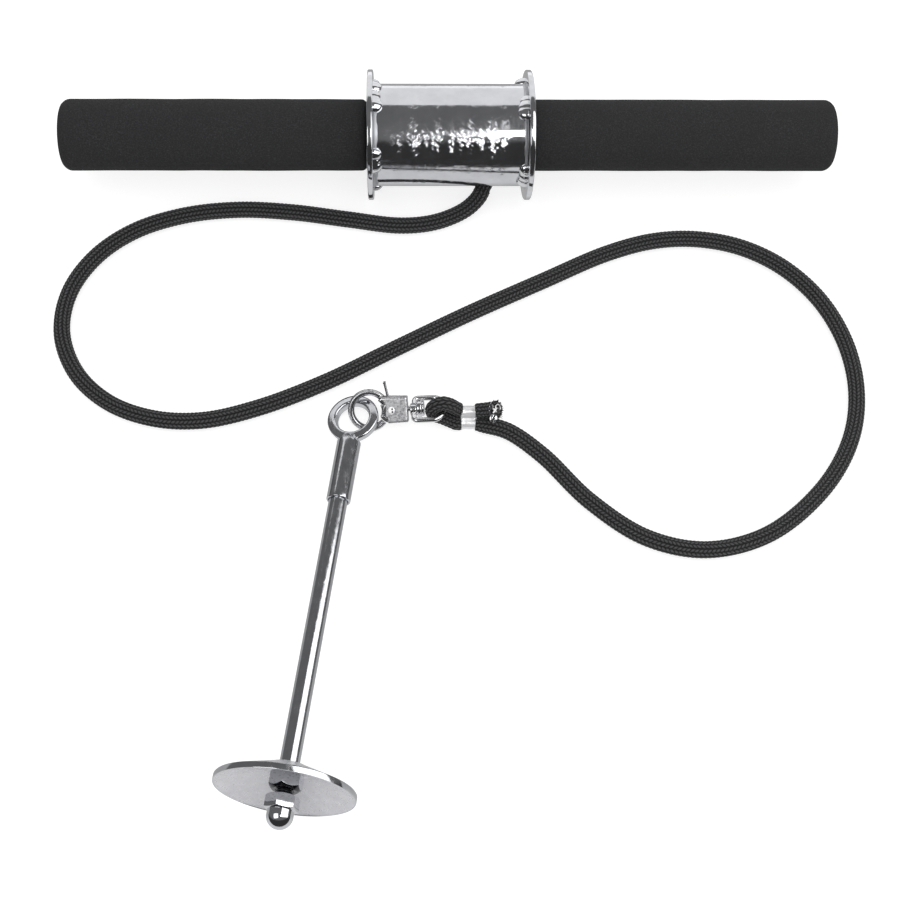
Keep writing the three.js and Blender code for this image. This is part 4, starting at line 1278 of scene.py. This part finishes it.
def build_pin_ring():
    """The welded ring with its neck, in one skin, and the sleeve pushed over the neck."""
    middle = RING_OUTER_RADIUS - RING_BAND / 2
    angles = [2 * math.pi * i / RING_STEPS for i in range(RING_STEPS)]
    path = np.array([(middle * math.cos(a), middle * math.sin(a), 0) for a in angles])
    turn = np.arange(RING_SIDES) / RING_SIDES * 2 * math.pi
    squarish = (np.abs(np.cos(turn)) ** 5 + np.abs(np.sin(turn)) ** 5) ** (-1 / 5)
    radii = np.tile(squarish * RING_BAND / 2, (RING_STEPS, 1))
    on_pin = moved(path, PIN)
    mesh = tube_mesh("ring", on_pin, ring_axes(on_pin, True), radii, walk(path), closed=True)
    neck_radius = SLEEVE_DIAMETER / 2 - 0.0004
    neck = lathe([(middle, 0), (middle, 0.0036), (middle + 0.0012, 0.0042),
                  (middle + 1.25 * SLEEVE_SHOULDER, neck_radius), (0.0165, neck_radius),
                  (NECK_END, neck_radius), (NECK_END, 0)], FINE_STEPS, closed=False)
    ring = piece_of(joined(bmesh_of(mesh), placed(neck, PIN)), "pin_ring", PIN_CHROME, turn_out=False)
    fused(ring, RING_VOXEL, 6, 0.0001)
    set_on(ring, "pin", "chrome", "pin_eye")
    radius = SLEEVE_DIAMETER / 2
    start = middle + 1.15 * SLEEVE_SHOULDER
    inner = ROD_DIAMETER / 2 + 0.0001
    profile = [(start, neck_radius - 0.001), *first_corner(start, radius, SLEEVE_EDGE),
               *level_run(start + SLEEVE_EDGE, SLEEVE_END - SLEEVE_EDGE, radius, 16),
               *last_corner(SLEEVE_END, radius, SLEEVE_EDGE, 25), (SLEEVE_END, inner + 0.0004),
               (SLEEVE_END - 0.0006, inner), (ROD_START, inner), (ROD_START, 0.003)]
    sleeve = piece_of(lathe(profile), "pin_sleeve", PIN_CHROME, PIN)
    set_on(sleeve, "pin", "chrome", "pin_eye")


def build_rod():
    """The rod and its thread; past the lock nut the thread is painted near black, as painted shade of the gap
    between the nuts.
    """
    end = ACORN_START + 0.003
    radius, thread = ROD_DIAMETER / 2, THREAD_DIAMETER / 2
    groove = thread - THREAD_DEPTH
    start = NUT_START + NUT_HEIGHT - 0.001
    ridges = []
    for i in range(int((end - start) / THREAD_PITCH)):
        foot = start + i * THREAD_PITCH
        ridges += [(foot, groove), (foot + THREAD_PITCH * 0.4, thread), (foot + THREAD_PITCH * 0.6, thread)]
    shoulder = PLATE_BACK - 0.0002
    profile = [(ROD_START, 0), (ROD_START, radius), *level_run(ROD_START, PLATE_BACK, radius, 40),
               (shoulder, radius), (shoulder, thread), (start - 0.0004, thread), *ridges,
               (end, groove), (end, 0)]
    rod = piece_of(lathe(profile, closed=False), "pin_shaft", PIN_CHROME, PIN)
    # Painted shade: the thread past the lock nut gets the near-black plating.
    paint(rod, PAINTED_SHADE_PLATING, lambda place, way: place.x > start)
    set_on(rod, "pin", "chrome", "pin_rod")


def dish(offset, rim):
    """The cone of one face of the disc, from its flat middle to its rim."""
    span = PLATE_DIAMETER / 2 - PLATE_SEAT_RADIUS
    share = (rim - PLATE_SEAT_RADIUS) / span
    start = PLATE_BACK + offset
    soft = [(start + PLATE_DISH * 0.01 * i * i, PLATE_SEAT_RADIUS + span * 0.02 * i) for i in (0, 1)]
    return [(start, PLATE_SEAT_RADIUS - span * 0.03), *soft,
            *[(start + PLATE_DISH * share * i / 12, PLATE_SEAT_RADIUS + span * share * i / 12)
              for i in range(1, 13)]]


def build_disc():
    rim = PLATE_DIAMETER / 2
    edge = PLATE_EDGE
    crest = PLATE_BACK + PLATE_DISH
    end = crest + PLATE_THICKNESS
    rounded = [(crest - edge * 0.15, rim - edge * 0.35), (crest + edge * 0.2, rim - edge * 0.07),
               (crest + edge * 0.6, rim), (end - edge * 0.7, rim), (end - edge * 0.25, rim - edge * 0.1),
               (end - edge * 0.1, rim - edge * 0.5)]
    profile = [(PLATE_BACK, BORE_RADIUS), *dish(0, rim - edge), *rounded,
               *reversed(dish(PLATE_THICKNESS, rim - edge)), (PLATE_BACK + PLATE_THICKNESS, BORE_RADIUS)]
    disc = piece_of(lathe(profile, 2 * FINE_STEPS), "dished_disc", DISC_PLATING, PIN)
    smooth_shaded(disc.data, 26)
    paint(disc, PIN_CHROME, lambda place, way: math.hypot(place.y, place.z) > rim - edge * 1.1)
    set_on(disc, "pin", "scuffed_chrome", "pin_plate")


def hex_nut(name, start, turn, chamfer, crown, node):
    """A hexagon trimmed by a turned shape, with its edges eased."""
    place = PIN @ rotation(turn, "X") @ shift(start) @ rotation(90, "Y")
    nut = piece_of(prism(6, NUT_CORNER, 0.06), name, CHROME, place)
    profile = [(start, BORE_RADIUS), (start, NUT_FLATS / 2 - 0.0003),
               (start + chamfer, NUT_CORNER + 0.0001), *crown]
    trim = lathe(profile, 2 * FINE_STEPS, closed=crown[-1][1] > 0)
    if crown[-1][1] == 0:
        bmesh.ops.holes_fill(trim, edges=[e for e in trim.edges if e.is_boundary], sides=0)
    with_cut(nut, trim, PIN, "INTERSECT")
    eased(nut, 0.00022, 3, 24)
    set_on(nut, "pin", "chrome", node)
    return nut


def build_nuts():
    """The lock nut, its end face painted near black as painted shade of the gap, and the acorn nut."""
    end = NUT_START + NUT_HEIGHT
    wide = NUT_CORNER + 0.0001
    crown = [(end - (NUT_CORNER - NUT_END_RADIUS), wide), (end, NUT_END_RADIUS), (end, BORE_RADIUS)]
    lock_nut = hex_nut("lock_nut", NUT_START, NUT_TURN, 0.0009, crown, "hex_nut")
    # Painted shade: the lock nut's end face, which looks at the acorn nut, gets the near-black plating.
    paint(lock_nut, PAINTED_SHADE_PLATING, lambda place, way: way.x > 0.3)
    dome = ACORN_DOME_DIAMETER / 2
    shoulder = ACORN_START + ACORN_HEX_HEIGHT
    middle = ACORN_START + ACORN_HEIGHT - dome
    crown = [(shoulder - 0.0006, wide), (shoulder, NUT_FLATS / 2 - 0.0001),
             (shoulder + 0.0001, dome + 0.0003), (shoulder + 0.0004, dome),
             *arc(middle, 0, dome, 90, 2, 24), (middle + dome, 0)]
    hex_nut("domed_nut", ACORN_START, ACORN_TURN, 0.0006, crown, "acorn_nut")


def dress_nodes():
    """Materials of the CAD nodes that stay as they are."""
    for material, names in ((PIN_CHROME, ("bar", "bar_weld_right", "bar_weld_left")),
                            (PLUG_PLASTIC_AND_SHADE, ("bar_plug_right", "bar_plug_left")), (CHROME, ("trigger_spring",))):
        for name in names:
            mesh = frame["nodes"][name].data
            mesh.materials.clear()
            mesh.materials.append(material)
            mesh.shade_smooth()


# Studio

def build_camera():
    yaw, pitch, roll = (math.radians(a) for a in (CAMERA_YAW, CAMERA_PITCH, CAMERA_ROLL))
    ahead = Vector((math.sin(yaw), math.sin(pitch) * math.cos(yaw), -math.cos(pitch) * math.cos(yaw)))
    ahead.normalize()
    right = ahead.cross(Vector((0, 1, 0))).normalized()
    up = right.cross(ahead)
    leaned_right = right * math.cos(roll) + up * math.sin(roll)
    leaned_up = up * math.cos(roll) - right * math.sin(roll)
    turn = Matrix((leaned_right, leaned_up, -ahead)).transposed()
    data = bpy.data.cameras.new("camera")
    data.lens = CAMERA_LENS
    data.sensor_width = CAMERA_SENSOR
    data.clip_start = 0.01
    camera = linked("camera", data)
    camera.matrix_world = Matrix.Translation(bar_floor + Vector(CAMERA_PLACE)) @ turn.to_4x4()
    bpy.context.scene.camera = camera


def build_floor():
    bm = bmesh.new()
    bmesh.ops.create_grid(bm, x_segments=1, y_segments=1, size=FLOOR_SIZE / 2)
    material, _ = new_material("floor", (0.42, 0.42, 0.42), 0.0, 0.9, Specular_IOR_Level=0.0,
                               Emission_Color=(1, 1, 1, 1), Emission_Strength=FLOOR_GLOW)
    floor = piece_of(bm, "floor", material)
    floor.visible_glossy = False


def area_light(name, corner, along, up, level, seen_in_gloss=True):
    """A rectangular light from a corner and its two sides, facing the pieces."""
    corner, along, up = (Vector(v) for v in (corner, along, up))
    data = bpy.data.lights.new(name, "AREA")
    data.shape = "RECTANGLE"
    data.size, data.size_y = along.length, up.length
    data.energy = level * math.pi * along.length * up.length
    light = linked(name, data)
    where = corner + (along + up) / 2
    x = along.normalized()
    z = x.cross(up).normalized()
    if z.dot(where) < 0:
        z = -z
    y = z.cross(x)
    light.matrix_world = Matrix.Translation(bar_floor + where) @ Matrix((x, y, z)).transposed().to_4x4()
    light.visible_camera = False
    light.visible_glossy = seen_in_gloss
    light.visible_diffuse = not seen_in_gloss


def build_world():
    """Even white light on the pieces; the plating shows a grey ceiling, a dark front and a bright floor."""
    world = bpy.data.worlds.new("studio")
    bpy.context.scene.world = world
    world.use_nodes = True
    world.cycles.sampling_method = "NONE"
    world.node_tree.nodes.clear()
    nodes = Nodes(world.node_tree, "Generated")
    _, y, z = nodes.split()

    def stepped(value, low_level, high_level, blur):
        """Goes from one level to another where the value passes zero."""
        return nodes.span(value, -blur, blur, low_level, high_level)

    front = nodes.minus(nodes.times(y, -1.0), nodes.plus(z, 0.02))
    above = stepped(front, CEILING_LEVEL, FRONT_LEVEL, 0.15)
    ground = stepped(y, GROUND_LEVEL, FAR_GROUND_LEVEL, 0.3)
    below = nodes.minus(nodes.plus(nodes.times(y, 0.095), HORIZON), z)
    seen = stepped(below, above, ground, EDGE_BLUR)
    shown = nodes.filled(nodes.new("ShaderNodeBackground"), Strength=seen)
    room = nodes.filled(nodes.new("ShaderNodeBackground"), Strength=ROOM_LEVEL)
    rays = nodes.new("ShaderNodeLightPath")
    either = nodes.filled(nodes.new("ShaderNodeMixShader"), Fac=rays.outputs["Is Glossy Ray"])
    nodes.feed(either.inputs[1], room.outputs[0])
    nodes.feed(either.inputs[2], shown.outputs[0])
    nodes.filled(nodes.new("ShaderNodeOutputWorld"), Surface=either.outputs[0])


def build_lights():
    area_light("ceiling", (-1.7, -1.9, 2.6), (3.4, 0, 0), (0, 3.4, 0), 0.9, seen_in_gloss=False)
    area_light("wall", (-0.64, 0.45, -0.12), (1.28, 0, 0), (0, 0, 0.754), WALL_LEVEL)
    area_light("key", (0.07, -0.58, 0.875), (0.27, 0.02, -0.065), (0, 0.2, 0.1), 5)
    area_light("right_box", (0.12, -0.55, 0.73), (0, 0.65, 0), (0.63, 0, -0.48), 1.6)
    area_light("left_box", (-0.62, -0.66, 0.5), (0.42, 0, 0.2), (0, 0.44, 0.06), 1.8)
    bpy.context.scene.view_settings.view_transform = "Standard"


build_camera()
rope_pieces = build_rope()
eye = build_eye()
tail, tail_path = build_tail()
fray = build_fray(tail_path)
sleeve = build_ferrule()
wires = build_tail_wire(tail_path)
screw = build_tail_screw()
build_drum()
build_flanges()
build_beads()
build_grips()
build_stub()
build_swivel_eye()
build_post()
build_hook_casting()
build_rivet()
build_pin_ring()
build_rod()
build_disc()
build_nuts()
dress_nodes()
build_floor()
build_world()
build_lights()
